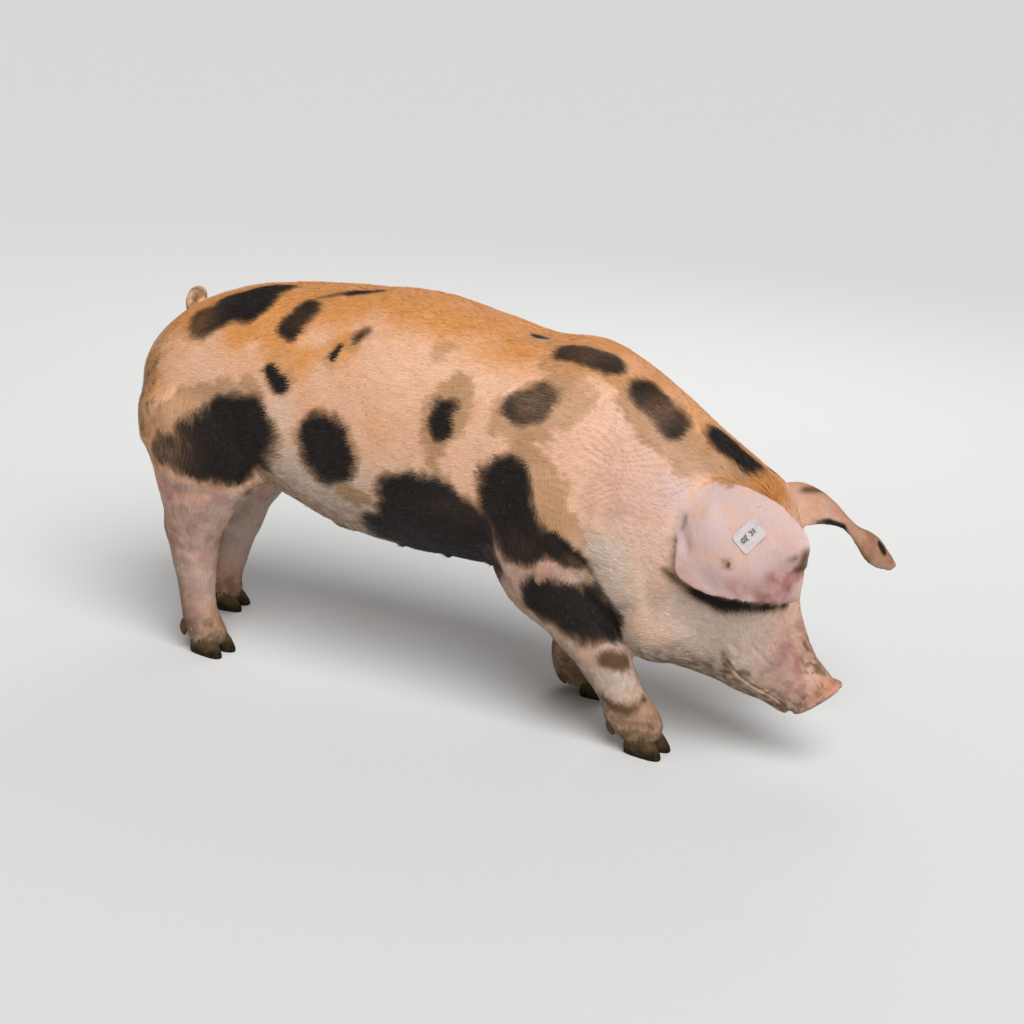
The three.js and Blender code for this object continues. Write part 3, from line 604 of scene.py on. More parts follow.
def lidded(points):
    """The skin drawn over each eyeball, with an almond slit between two lids."""
    for side in (RIGHT, LEFT):
        middle, look, along, up = eye_frame(side)
        ray = points - middle
        far = np.maximum(np.linalg.norm(ray, axis=1), 1e-6)
        x, y, ahead = [EYE["radius"] * (ray @ way) / far for way in (along, up, look)]
        half = np.where(y > 0, SLIT["up"], SLIT["down"]) * np.clip(1 - (x / SLIT["half"]) ** 2, 0, 1) ** 0.6
        gap = np.where(np.abs(x) < SLIT["half"], np.abs(y) - half, np.hypot(np.abs(x) - SLIT["half"], y))
        lid = EYE["radius"] + np.where(y > 0, 2.6, 1.9) + 0.5 * np.exp(-(((gap - 1.8) / 1.2) ** 2))
        edge = smooth_step(-0.7, 0.7, gap)
        target = (EYE["radius"] - 1.6) * (1 - edge) + lid * edge
        flat = np.hypot(ray @ along, 1.15 * (ray @ up))
        pull = smooth_step(25, 12.5, flat) * smooth_step(-3, 3, ray @ look) * (far < 40)
        wanted = middle + ray / far[:, None] * target[:, None]
        fold = 1.3 * np.exp(-(((gap - 4.4) / 0.9) ** 2)) * (y > 0) * smooth_step(13, 9, np.abs(x))
        points = points + (wanted - points) * pull[:, None] - look * (fold * pull)[:, None]
    return points


# ---------------------------------------------------------------- markings

# Black spots as tapering strokes: from, to, the radius at each end and the width of the pale-haired
# rim of grey skin round it, all in mm. Those of the right side follow the animal in the photo.
SPOTS = [
    ((-418, -120, 690), (-322, -72, 738), 42, 38, 8),
    ((-352, -70, 736), (-300, -40, 751), 28, 26, 6),
    ((-392, -84, 716), (-318, -32, 748), 28, 24, 6),
    ((-330, -110, 712), (-306, -92, 728), 26, 24, 8),
    ((-214, -142, 708), (-204, -108, 738), 26, 26, 8),
    ((-140, -48, 766), (-96, -22, 773), 11, 13, 5),
    ((-112, -174, 672), (-102, -162, 694), 8, 6, 9),
    ((-76, -158, 704), (-68, -150, 714), 5, 5, 10),
    ((-232, -184, 628), (-212, -190, 606), 12, 16, 14),
    ((-310, -195, 528), (-278, -192, 536), 42, 38, 10),
    ((-350, -200, 466), (-274, -192, 498), 60, 56, 12),
    ((-450, -196, 440), (-396, -200, 436), 34, 38, 8),
    ((-396, -200, 436), (-300, -196, 424), 38, 36, 10),
    ((-392, -203, 478), (-330, -193, 526), 36, 38, 8),
    ((-306, -190, 430), (-276, -184, 450), 40, 36, 8),
    ((-110, -199, 516), (-98, -200, 492), 53, 55, 8),
    ((52, -193, 440), (120, -198, 442), 46, 48, 8),
    ((40, -176, 396), (110, -180, 390), 38, 44, 6),
    ((110, -190, 420), (190, -170, 400), 56, 56, 10),
    ((10, -150, 345), (190, -140, 335), 50, 60, 10),
    ((60, -80, 300), (200, -80, 298), 60, 60, 10),
    ((132, -190, 620), (128, -201, 588), 22, 26, 8),
    ((280, -170, 638), (306, -152, 656), 30, 29, 8),
    ((318, -68, 729), (392, -54, 716), 23, 27, 10),
    ((230, -24, 738), (250, -24, 737), 8, 6, 8),
    ((468, -64, 675), (524, -64, 637), 32, 31, 8),
    ((598, -22, 604), (676, -18, 560), 25, 24, 6),
    ((268, -198, 500), (272, -200, 470), 48, 52, 6),
    ((272, -203, 470), (300, -203, 405), 54, 50, 6),
    ((352, -193, 410), (404, -164, 362), 20, 18, 8),
    ((350, -180, 300), (424, -165, 262), 44, 44, 4),
    ((420, -140, 275), (444, -110, 250), 38, 38, 4),
    ((690, -186, 432), (689, -186, 430), 4.5, 4.5, 2),
    # painted shadow, partly dark hair: the next three strokes lay a black band under the right ear, where the
    # ear shades the cheek
    ((616, -138, 350), (663, -129, 333), 4, 9, 2),
    ((663, -129, 333), (736, -98, 334), 9, 8, 2),
    ((736, -98, 334), (758, -54, 324), 7, 4, 2),
    ((770, 76, 448), (787, 94, 449), 5, 6, 2),
    ((787, 94, 449), (810, 125, 434), 6, 4, 2),
    ((868, 186, 393), (874, 190, 381), 8, 8, 2),
    # the left side, which the photo doesn't show
    ((-420, 120, 690), (-380, 150, 650), 38, 34, 10),
    ((-330, 195, 500), (-380, 200, 430), 66, 50, 12),
    ((-200, 185, 640), (-170, 192, 610), 30, 28, 10),
    ((-60, 202, 500), (-20, 204, 470), 52, 46, 12),
    ((-90, 150, 700), (-60, 160, 690), 20, 18, 8),
    ((60, 130, 330), (190, 120, 320), 56, 60, 10),
    ((90, 195, 590), (120, 198, 560), 30, 34, 11),
    ((60, 120, 728), (100, 110, 732), 24, 22, 9),
    ((270, 150, 662), (310, 160, 636), 34, 30, 12),
    ((290, 200, 480), (300, 202, 420), 54, 46, 10),
    ((300, 150, 270), (286, 150, 230), 38, 34, 5),
    ((430, 110, 660), (470, 120, 610), 32, 34, 12),
    ((540, 110, 520), (560, 116, 480), 28, 26, 10),
]
# Rims of grey skin under pale hair that have no black in them, or reach further than the black's.
RIMS = [
    ((-440, -198, 452), (-390, -200, 520), 42, 30), ((-470, -186, 430), (-450, -194, 500), 26, 26),
    ((-460, -192, 500), (-420, -196, 545), 24, 24), ((-420, -196, 545), (-350, -196, 575), 24, 22),
    ((-530, -148, 590), (-518, -164, 480), 22, 28),
    ((-350, -196, 560), (-270, -190, 585), 26, 28), ((-175, -70, 759), (-152, -46, 765), 10, 10),
    ((-96, -160, 700), (-72, -150, 712), 14, 12), ((96, -149, 702), (107, -132, 717), 17, 14),
    ((154, -178, 650), (140, -196, 600), 32, 36), ((126, -200, 580), (118, -203, 556), 38, 28),
    ((274, -176, 620), (352, -136, 668), 56, 50), ((300, -92, 716), (420, -72, 698), 24, 22),
    ((466, -84, 656), (566, -84, 590), 42, 40), ((594, -66, 583), (652, -64, 546), 34, 36),
    ((304, -196, 540), (344, -198, 465), 46, 52), ((356, -196, 440), (384, -186, 404), 42, 38),
    ((240, -30, 738), (300, -50, 732), 14, 12), ((-70, -186, 426), (-36, -186, 414), 16, 18),
    ((300, 160, 640), (360, 150, 600), 38, 34), ((480, 130, 600), (560, 120, 520), 38, 44),
    ((-250, 190, 590), (-180, 196, 560), 34, 30), ((640, 60, 570), (690, 50, 540), 26, 22),
]
BROWNS = [
    ((466, -152, 192), (490, -132, 184), 19, 18), ((459, -142, 110), (480, -142, 96), 9, 10),
    ((480, -142, 96), (510, -137, 92), 10, 10), ((510, -137, 92), (532, -109, 112), 10, 8),
    ((290, 150, 190), (292, 150, 168), 18, 16),
    # painted shadow, partly dark hair: the strokes on this line and the next widen the band under the right
    # ear in brown
    ((562, -144, 380), (608, -139, 352), 5, 9), ((608, -139, 352), (663, -129, 330), 10, 13),
    ((663, -129, 330), (736, -98, 332), 14, 12), ((736, -98, 334), (764, -44, 324), 12, 8),
    ((-196, -74, 755), (-130, -34, 771), 4, 6), ((-76, -150, 712), (-60, -140, 726), 8, 10),
    ((698, 24, 540), (714, 62, 518), 10, 11),
    ((768, 74, 446), (804, 118, 434), 9, 8), ((810, 125, 434), (854, 156, 365), 4, 4),
    # painted shade: the second stroke here darkens the corner of the mouth
    ((716, 60, 510), (752, 150, 486), 8, 7), ((677, -113, 234), (690, -104, 204), 5, 4),
    # painted shade: the second stroke here and the one below darken the fold at the right ear's front edge
    ((846, -34, 186), (852, -30, 180), 5, 4), ((824, -187, 480), (814, -187, 450), 8, 11),
    ((806, -191, 468), (800, -190, 462), 6, 5),
    # painted shade: the second stroke here darkens the fold between the right thigh and the flank
    ((584, -141, 486), (582, -142, 466), 3, 3), ((-276, -188, 408), (-296, -150, 362), 4, 11),
]
PINK_HOLES = [((344, -190, 352), (395, -156, 342), 17, 18), ((-150, -20, 300), (-96, -20, 286), 34, 34)]
# Clouds of other colours: middle, half-sizes, strength and if the other side has them too.
CLOUDS = {
    "thin": [
        ((293, -161, 650), (40, 60, 34), 0.8, False), ((505, -64, 648), (44, 60, 30), 0.6, False),
        ((350, -60, 724), (50, 50, 30), 0.35, False), ((-430, -205, 450), (40, 60, 70), 0.3, False),
        ((-430, -118, 680), (36, 50, 40), 0.6, False), ((-209, -125, 722), (30, 50, 34), 0.15, False),
        ((-72, -154, 709), (14, 20, 14), 1.0, False), ((-460, -196, 440), (40, 40, 40), 0.5, False),
        ((160, -185, 430), (60, 50, 30), 0.12, False), ((300, -200, 390), (30, 40, 30), 0.12, False),
        ((400, -165, 372), (30, 30, 16), 0.4, False),
    ],
    "white": [
        ((-150, -190, 440), (120, 90, 46), 1.0, True), ((440, -150, 350), (60, 90, 90), 0.9, True),
        ((455, -162, 392), (36, 50, 44), 0.9, True),
        ((-110, -160, 395), (110, 60, 34), 0.9, True),
        # partly pale hair, partly painted light: the second cloud here whitens the cheeks, where the ears
        # shade them
        ((590, 0, 300), (110, 200, 110), 0.9, False), ((700, 0, 292), (62, 220, 100), 1.1, False),
        ((636, -125, 300), (46, 60, 44), 0.8, True), ((40, 0, 470), (140, 230, 50), 0.6, False),
        ((660, -120, 280), (70, 60, 60), 0.9, True), ((-222, -190, 500), (34, 60, 60), 0.7, True),
        ((424, -150, 240), (34, 50, 20), 0.9, False), ((484, -130, 150), (40, 50, 30), 1.1, False),
        ((462, -150, 226), (50, 50, 14), 1.2, False), ((476, -140, 150), (60, 70, 50), 0.6, False),
        # painted light: the second cloud here lightens the left hind leg's inner face, which the body shades
        ((-420, -130, 180), (60, 60, 90), 0.55, False), ((-480, 100, 220), (60, 40, 110), 0.9, False),
        ((-208, -180, 590), (30, 60, 60), 0.4, True),
    ],
    "pale": [
        ((560, -125, 522), (34, 60, 36), 0.9, True), ((536, -150, 440), (50, 60, 80), 0.4, True),
        ((800, 0, 176), (56, 90, 70), 0.5, False), ((480, -140, 500), (70, 60, 60), 0.25, True),
        ((500, -120, 580), (110, 60, 80), 0.35, True),
    ],
    "flush_and_shade": [
        # the second cloud here darkens the hind legs red-pink: pinker skin, and painted shade
        ((-140, 0, 296), (60, 46, 30), 1.0, False), ((-440, 0, 330), (90, 300, 80), 0.7, False),
        ((772, 0, 222), (42, 100, 60), 2.4, False), ((742, -98, 366), (22, 22, 16), 0.9, True),
        ((800, -190, 430), (34, 34, 44), 1.3, True), ((750, -190, 392), (50, 34, 26), 0.8, True),
        ((850, 0, 140), (40, 80, 60), 1.0, False), ((330, -180, 340), (60, 60, 36), 0.6, True),
        ((470, -160, 520), (120, 60, 120), 0.22, True),
    ],
    # The soil clouds under the belly, throat and jaw, under the snout's disc, at the mouth's corners, in the
    # groin and on the rump's rear edge are painted shade; the others darken the snout, below the eyes, parts
    # of the legs and the tail.
    "soil_and_shade": [
        ((850, 0, 150), (40, 80, 60), 0.9, False), ((812, 0, 226), (30, 40, 42), 2.0, False),
        ((744, -98, 366), (22, 24, 15), 1.0, True), ((-524, -150, 530), (44, 80, 130), 1.2, True),
        ((-440, -200, 330), (60, 60, 60), 0.35, False), ((700, -80, 186), (34, 40, 24), 1.3, True),
        ((828, 0, 110), (34, 60, 22), 1.5, False), ((300, 150, 120), (60, 50, 110), 1.7, False),
        ((-300, -110, 350), (50, 60, 60), 1.1, True),
        ((672, -108, 226), (26, 30, 16), 0.8, True), ((800, 0, 108), (40, 70, 26), 1.6, False),
        ((-566, 0, 480), (44, 240, 130), 0.7, False), ((-490, 0, 240), (30, 200, 60), 0.6, False),
        ((-530, 10, 690), (40, 40, 60), 1.1, False), ((620, 0, 170), (160, 120, 40), 0.6, False),
        ((0, 0, 262), (420, 200, 46), 1.1, False), ((640, 0, 130), (160, 90, 50), 0.6, False),
    ],
    "poll": [((716, -40, 520), (40, 44, 34), 1.0, False), ((660, -30, 556), (40, 40, 30), 0.5, False)],
    "ginger": [
        ((-220, -140, 690), (140, 90, 60), 1.5, True), ((-40, -200, 555), (170, 60, 60), 0.3, True),
        ((718, -30, 520), (34, 50, 34), 1.5, False), ((560, -160, 340), (40, 50, 30), 0.35, True),
        ((-470, -120, 640), (60, 90, 60), 0.4, True), ((-510, -140, 540), (50, 70, 120), 1.3, True),
        ((846, -30, 180), (24, 30, 20), 0.4, True),
    ],
}


def cloud(points, name):
    """How strongly a colour's clouds lie on each point."""
    total = np.zeros(len(points))
    for middle, size, strength, paired in CLOUDS[name]:
        for at in both_sides(middle) if paired else [np.array(middle, float)]:
            total += strength * np.exp(-(((points - at) / size) ** 2).sum(1))
    return total


def stroke(points, start, end, r0, r1):
    """How deep points lie inside a stroke, in mm: negative outside it."""
    a, b = np.array(start, float), np.array(end, float)
    t = np.clip(((points - a) @ (b - a)) / ((b - a) @ (b - a)), 0, 1)
    return r0 + t * (r1 - r0) - np.linalg.norm(points - a - t[:, None] * (b - a), axis=1)


def markings(points, up, part):
    """What is painted at points of the skin, each from 0 to 1: two rows of four numbers a point,
    black, rim, ginger, white, and then flush, soil, brown, ear. Flush is pinker skin and painted
    shade, soil is dirt and painted shade, and brown holds brown marks and painted shade in folds,
    in the nostrils and under the right ear."""
    fray = 4.0 * ripple(points, 70, 11) + 2.0 * ripple(points, 26, 12)
    edge = 5 * ripple(points, 56, 14) + 2.2 * ripple(points, 22, 15) + 1.2 * ripple(points, 9, 13)
    black, rim = np.zeros(len(points)), np.full(len(points), -99.0)
    for start, end, r0, r1, wide in SPOTS:
        inside = stroke(points, start, end, r0, r1)
        soft = np.clip(0.34 * min(r0, r1), 3, 13)
        black = np.maximum(black, np.clip(
            0.5 + (inside + fray * min(1.0, min(r0, r1) / 34)) / (2 * soft), 0, 1))
        rim = np.maximum(rim, inside + wide)
    for start, end, r0, r1 in RIMS:
        rim = np.maximum(rim, stroke(points, start, end, r0, r1))
    hole = smooth_step(-5, 5, np.max([stroke(points, *h) for h in PINK_HOLES], 0) + fray)
    black = (1 - (1 - black) ** 2.2) * (1 - 0.85 * hole) * (1 - 0.35 * cloud(points, "thin"))
    grey = (smooth_step(-9, 6, rim + edge) * (1 - 0.7 * hole)
            * (0.75 + 0.35 * (0.5 + 0.5 * ripple(points, 90, 23))))
    brown = smooth_step(-8, 8, np.max([stroke(points, *b) for b in BROWNS], 0) + 0.3 * fray)
    middle, face_up, aside, _ = disc_frame()
    for side in (RIGHT, LEFT):
        # painted shade: the nostrils and their edges brown
        nostril = middle + face_up * NOSTRIL["up"] + aside * side * NOSTRIL["aside"]
        brown = np.maximum(brown, smooth_step(17, 8, np.linalg.norm(points - nostril, axis=1)))
        ball, look, along, _ = eye_frame(side)
        lids = ball + look * (EYE["radius"] + 1)
        rim_of_eye = stroke(points, lids - along * SLIT["half"], lids + along * SLIT["half"], 8, 8)
        brown = np.maximum(brown, 0.75 * smooth_step(-3, 4, rim_of_eye))
    # painted shade: a brown line under the snout's disc
    chin = middle - face_up * 47
    brown = np.maximum(brown, 0.8 * smooth_step(
        -5, 4, stroke(points, chin - aside * 26, chin + aside * 26, 9, 9)))
    is_ear = np.isin(part, [CHART_NAMES.index(n) for n in EARS])
    is_leg = np.isin(part, [CHART_NAMES.index(n) for n in LEGS])
    is_fore = is_leg * (points[:, 0] > 0)
    x, y, z = points.T
    far_ear = is_ear * (y > 0)
    patchy = 0.5 + 0.28 * ripple(points, 120, 16) + 0.1 * ripple(points, 40, 17)
    smudged = smooth_step(-0.4, 1.2, ripple(points, 26, 18) + 0.5 * ripple(points, 10, 19))
    ridge = smooth_step(0.58, 0.97, up[:, 2]) * smooth_step(-600, -480, x) * smooth_step(760, 690, x)
    ginger = 0.35 * far_ear + (1 - 0.9 * is_ear) * (
        ridge * (0.7 + 0.6 * patchy) + cloud(points, "ginger") * (0.35 + 1.2 * patchy))
    low = smooth_step(0.15, -0.75, up[:, 2]) * smooth_step(420, 330, z)
    white = (0.8 * low + cloud(points, "white")) * (0.75 + 0.3 * patchy) * (1 - is_ear)
    pale = is_ear * (1 - 0.35 * far_ear) + cloud(points, "pale") * (1 - is_ear)
    # the lower legs a dark red-pink, more on the hind legs: pinker skin, and painted shade
    flush_and_shade = ((0.9 - 0.5 * is_fore) * is_leg * smooth_step(420, 330, z)
             + cloud(points, "flush_and_shade") * (0.5 + patchy))
    flush_and_shade += is_ear * (0.3 * smooth_step(440, 380, z) + far_ear * (0.35 + 0.35 * smooth_step(800, 860, x)))
    soil_and_shade = (smooth_step(118, 40, z) * (0.6 + 0.4 * smudged)
            # partly dirt, partly painted shade: the lower legs darker, the right ones more
            + is_leg * (0.1 + 0.2 * (y < 0)) * smooth_step(400, 240, z)
            + cloud(points, "soil_and_shade") * (0.2 + 0.8 * smudged))
    # painted shade, partly dirt: the rear-facing sides of the lower legs darker
    soil_and_shade += 0.6 * is_leg * smooth_step(0.3, -0.9, up[:, 0]) * smooth_step(300, 140, z)
    # painted shade: the sides of the legs that face the other legs darker
    soil_and_shade += 0.1 * is_leg * smooth_step(0.2, 0.9, up[:, 1] * -np.sign(y))
    soil_and_shade += far_ear * (0.25 + 0.4 * smooth_step(800, 850, x))
    # painted shade: every part of the trunk, neck and head that faces down darker
    soil_and_shade += 0.85 * smooth_step(0.0, -0.75, up[:, 2]) * (1 - is_ear) * (1 - is_leg) * (0.75 + 0.25 * smudged)
    first = np.stack([black, grey, ginger, white], 1)
    return np.clip(first, 0, 1), np.clip(np.stack([flush_and_shade, soil_and_shade, brown, pale], 1), 0, 1)


# ---------------------------------------------------------------- materials


class Look:
    """A procedural material in the making: each call adds a node and gives back its output."""

    def __init__(self, name, **sockets):
        self.material = bpy.data.materials.new(name)
        self.material.use_nodes = True
        self.tree = self.material.node_tree
        self.shader = self.tree.nodes["Principled BSDF"]
        for socket, value in sockets.items():
            self.shader.inputs[socket.replace("_", " ")].default_value = value

    def node(self, kind, inputs, output=0, **settings):
        made = self.tree.nodes.new("ShaderNode" + kind)
        for key, value in settings.items():
            setattr(made, key, value)
        for key, value in inputs.items():
            self.plug(made.inputs[key], value)
        return made.outputs[output]

    def plug(self, socket, value):
        if isinstance(value, bpy.types.NodeSocket):
            self.tree.links.new(value, socket)
        else:
            socket.default_value = (*value, 1) if isinstance(value, tuple) and len(value) == 3 and len(
                socket.default_value) == 4 else value

    def read(self, name, output=0):
        return self.node("Attribute", {}, output, attribute_name=name)

    def channels(self, name):
        split = self.tree.nodes.new("ShaderNodeSeparateColor")
        self.tree.links.new(self.read(name), split.inputs[0])
        return [*split.outputs, self.read(name, 3)]

    def math(self, operation, a, b=0.0, clamp=False):
        return self.node("Math", {0: a, 1: b}, operation=operation, use_clamp=clamp)

    def times(self, a, b):
        return self.math("MULTIPLY", a, b)

    def mix(self, share, a, b, blend="MIX"):
        return self.node("Mix", {0: share, 6: a, 7: b}, 2, data_type="RGBA", blend_type=blend)

    def noise(self, scale, detail=2, vector=None, stretch=(1, 1, 1)):
        if vector is None:
            vector = self.node("TexCoord", {}, 3)
        vector = self.node("Mapping", {0: vector, 3: stretch})
        return self.node("TexNoise", {"Vector": vector, "Scale": scale, "Detail": detail})

    def span(self, value, low, high, to_low=0.0, to_high=1.0):
        return self.node("MapRange", {0: value, 1: low, 2: high, 3: to_low, 4: to_high},
                         interpolation_type="SMOOTHSTEP")

    def bump(self, height, strength, distance, normal=None):
        inputs = {"Height": height, "Strength": strength, "Distance": distance}
        if normal:
            inputs["Normal"] = normal
        return self.node("Bump", inputs)

    def finish(self, **sockets):
        for socket, value in sockets.items():
            self.plug(self.shader.inputs[socket.replace("_", " ")], value)
        return self.material


# The soil colour serves for dirt and for painted shade on undersides, on the backs and insides of the legs,
# in folds and at the rump's rear; the flush colour is pinker skin, darkened to serve as painted shade on the
# lower legs and the snout's sides.
SKIN_COLOURS = {
    "plain": (0.71, 0.42, 0.28), "flush_and_shade": (0.35, 0.155, 0.145), "pale": (0.62, 0.455, 0.435),
    "ginger": (0.60, 0.25, 0.065), "white": (0.60, 0.50, 0.435), "rim": (0.38, 0.205, 0.10),
    "black": (0.011, 0.008, 0.007), "brown": (0.105, 0.058, 0.028), "soil_and_shade": (0.16, 0.098, 0.052),
}
HAIR_COLOURS = {
    "plain": (0.80, 0.53, 0.37), "flush_and_shade": (0.43, 0.22, 0.195), "pale": (0.72, 0.55, 0.515),
    "ginger": (0.68, 0.305, 0.085), "white": (0.78, 0.69, 0.62), "rim": (0.47, 0.28, 0.145),
    "black": (0.016, 0.012, 0.011), "brown": (0.14, 0.08, 0.038), "soil_and_shade": (0.22, 0.145, 0.085),
}


def painted(look, colours, strand):
    """The markings in one set of colours. Single hairs of one colour reach into the next."""
    black, rim, ginger, white = look.channels("markings")
    stray = look.times(look.times(black, look.math("SUBTRACT", 1.0, black)),
        look.span(strand, 0, 1, -0.9, 0.9))
    black = look.math("ADD", black, stray, True)
    flush_and_shade, soil_and_shade, brown, pale = look.channels("tones")
    patches = look.span(look.noise(24, 3), 0.35, 0.68)
    specks = look.times(look.span(look.noise(150, 2), 0.66, 0.74),
        look.span(look.noise(9, 2), 0.5, 0.62, 0, 0.5))
    colour = look.mix(look.times(pale, look.span(patches, 0, 1, 1, 0.55)), colours["plain"], colours["pale"])
    # pinker skin, and painted shade
    colour = look.mix(look.times(flush_and_shade, look.span(patches, 0, 1, 0.5, 1)), colour, colours["flush_and_shade"])
    colour = look.mix(look.times(ginger, 0.92), colour, colours["ginger"])
    colour = look.mix(look.times(white, 0.75), colour, colours["white"])
    colour = look.mix(look.times(rim, 0.85), colour,
        look.mix(look.times(ginger, 0.5), colours["rim"], colours["ginger"]))
    # dirt, and painted shade
    colour = look.mix(look.times(soil_and_shade, look.span(look.noise(60, 4), 0.2, 0.65, 0.35, 1)), colour,
        colours["soil_and_shade"])
    colour = look.mix(look.math("MAXIMUM", brown, specks), colour, colours["brown"])
    return look.mix(black, colour, colours["black"])


def skin_material():
    look = Look("skin", Roughness=0.55, Specular_IOR_Level=0.15)
    grain = look.read("grain", 1)
    hairs = look.noise(1, 3, grain, (46, 520, 1))
    pores = look.noise(420, 2)
    mottle = look.noise(24, 4)
    colour = painted(look, SKIN_COLOURS, look.span(hairs, 0.3, 0.7))
    furred = look.span(look.channels("tones")[3], 0, 1, 1, 0.3)
    colour = look.mix(furred, colour, look.node("CombineColor", {
        0: look.span(hairs, 0.25, 0.75, 0.88, 1.1), 1: look.span(hairs, 0.25, 0.75, 0.84, 1.12),
        2: look.span(hairs, 0.25, 0.75, 0.82, 1.14)}), "MULTIPLY")
    colour = look.mix(look.span(mottle, 0.5, 0.8, 0, 0.35), colour,
        look.mix(1.0, colour, (0.86, 0.68, 0.62), "MULTIPLY"))
    relief = look.bump(look.times(hairs, furred), 0.35, 0.0012, look.bump(pores, 0.25, 0.0006))
    return look.finish(Base_Color=colour, Normal=relief, Roughness=look.span(mottle, 0.3, 0.7, 0.46, 0.6))


def coat_material():
    look = Look("coat", Roughness=0.5, Specular_IOR_Level=0.12)
    shade, along, hue, _ = look.channels("strand")
    greyed = look.mix(look.span(hue, 0.5, 1, 0, 0.8), HAIR_COLOURS["black"], (0.062, 0.048, 0.043))
    colour = painted(look, {**HAIR_COLOURS, "black": greyed}, hue)
    light = look.span(shade, 0, 1, 0.78, 1.12)
    light = look.times(light, look.span(along, 0, 1, 0.9, 1.08))
    colour = look.mix(1.0, colour, look.node("CombineColor", {0: light, 1: look.times(
        light, look.span(hue, 0, 1, 0.93, 1.03)),
        2: look.times(light, look.span(hue, 0, 1, 0.8, 1.08))}), "MULTIPLY")
    return look.finish(Base_Color=colour, Roughness=look.span(look.noise(300, 1), 0.3, 0.7, 0.42, 0.6))


def horn_material():
    look = Look("horn", Roughness=0.6, Specular_IOR_Level=0.06)
    rings = look.noise(1, 3, stretch=(60, 60, 420))
    streaks = look.noise(1, 3, stretch=(300, 300, 36))
    worn = look.noise(45, 4)
    colour = look.mix(look.span(streaks, 0.35, 0.7), (0.010, 0.007, 0.004), (0.032, 0.020, 0.009))
    height = look.math("ADD", look.read("tip", 2), look.span(worn, 0, 1, -0.3, 0.3))
    colour = look.mix(look.span(height, 0.15, 0.65), colour, (0.075, 0.047, 0.020))
    colour = look.mix(look.span(worn, 0.58, 0.72, 0, 0.4), colour, (0.10, 0.07, 0.04))
    relief = look.bump(rings, 0.5, 0.0014, look.bump(streaks, 0.4, 0.0008))
    return look.finish(Base_Color=colour, Normal=relief, Roughness=look.span(worn, 0.3, 0.7, 0.42, 0.66))


def eye_material():
    look = Look("eye", Roughness=0.08, Coat_Weight=1.0, Coat_Roughness=0.03, Specular_IOR_Level=0.5)
    aside = look.read("gaze", 2)
    fibres = look.noise(1, 3, look.read("rays", 1), (1, 14, 14))
    iris = look.mix(look.span(fibres, 0.3, 0.7), (0.050, 0.026, 0.012), (0.135, 0.075, 0.035))
    colour = look.mix(look.span(aside, 0.33, 0.37), (0.004, 0.004, 0.005), iris)
    colour = look.mix(look.span(aside, 0.76, 0.84), colour, (0.025, 0.014, 0.009))
    colour = look.mix(look.span(aside, 0.86, 0.95), colour, (0.34, 0.22, 0.18))
    return look.finish(Base_Color=colour)


def tag_material():
    look = Look("tag", Roughness=0.42, Specular_IOR_Level=0.5)
    stains = look.noise(70, 4)
    colour = look.mix(look.span(stains, 0.5, 0.75, 0, 0.5), (0.64, 0.58, 0.58), (0.42, 0.35, 0.32))
    return look.finish(Base_Color=colour, Normal=look.bump(look.noise(900, 2), 0.2, 0.0004),
                       Roughness=look.span(stains, 0.3, 0.7, 0.34, 0.55))


def plain_material(name, colour):
    look = Look(name, Roughness=0.6, Specular_IOR_Level=0.3)
    worn = look.mix(look.span(look.noise(160, 3), 0.45, 0.7, 0, 0.6), colour,
        tuple(min(1, 4 * c) for c in colour))
    return look.finish(Base_Color=worn)


def floor_material():
    look = Look("floor", Roughness=0.8, Specular_IOR_Level=0.1)
    colour = look.mix(look.span(look.noise(90, 3), 0.3, 0.7), (0.645, 0.645, 0.64), (0.655, 0.655, 0.65))
    return look.finish(Base_Color=colour)


# ---------------------------------------------------------------- making the pieces


def fill(mesh, name, kind, values):
    """A number, vector or colour at each vertex."""
    layer = mesh.attributes.new(name, kind, "POINT")
    field = {"FLOAT": "value", "FLOAT_VECTOR": "vector", "FLOAT_COLOR": "color"}[kind]
    layer.data.foreach_set(field, np.ascontiguousarray(values, np.float32).ravel())


def triangle_mesh(name, points, faces):
    mesh = bpy.data.meshes.new(name)
    mesh.vertices.add(len(points))
    mesh.vertices.foreach_set("co", np.ascontiguousarray(points, np.float32).ravel())
    mesh.loops.add(faces.size)
    mesh.loops.foreach_set("vertex_index", np.ascontiguousarray(faces, np.int32).ravel())
    mesh.polygons.add(len(faces))
    mesh.polygons.foreach_set("loop_start", np.arange(0, faces.size, 3, dtype=np.int32))
    mesh.update(calc_edges=True)
    return mesh


def piece(name, mesh, material, replaced=()):
    """A shown object from a mesh in millimetres about the animal's origin."""
    move(mesh, (coords(mesh) + ORIGIN) / 1000)
    mesh.polygons.foreach_set("use_smooth", np.ones(len(mesh.polygons), bool))
    mesh.materials.clear()
    mesh.materials.append(material)
    thing = bpy.data.objects.new(name, mesh)
    bpy.context.scene.collection.objects.link(thing)
    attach(thing, "root")
    if replaced:
        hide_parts(*replaced)
    return thing


def mixed(corners, shares):
    return (corners * shares[..., None]).sum(1)


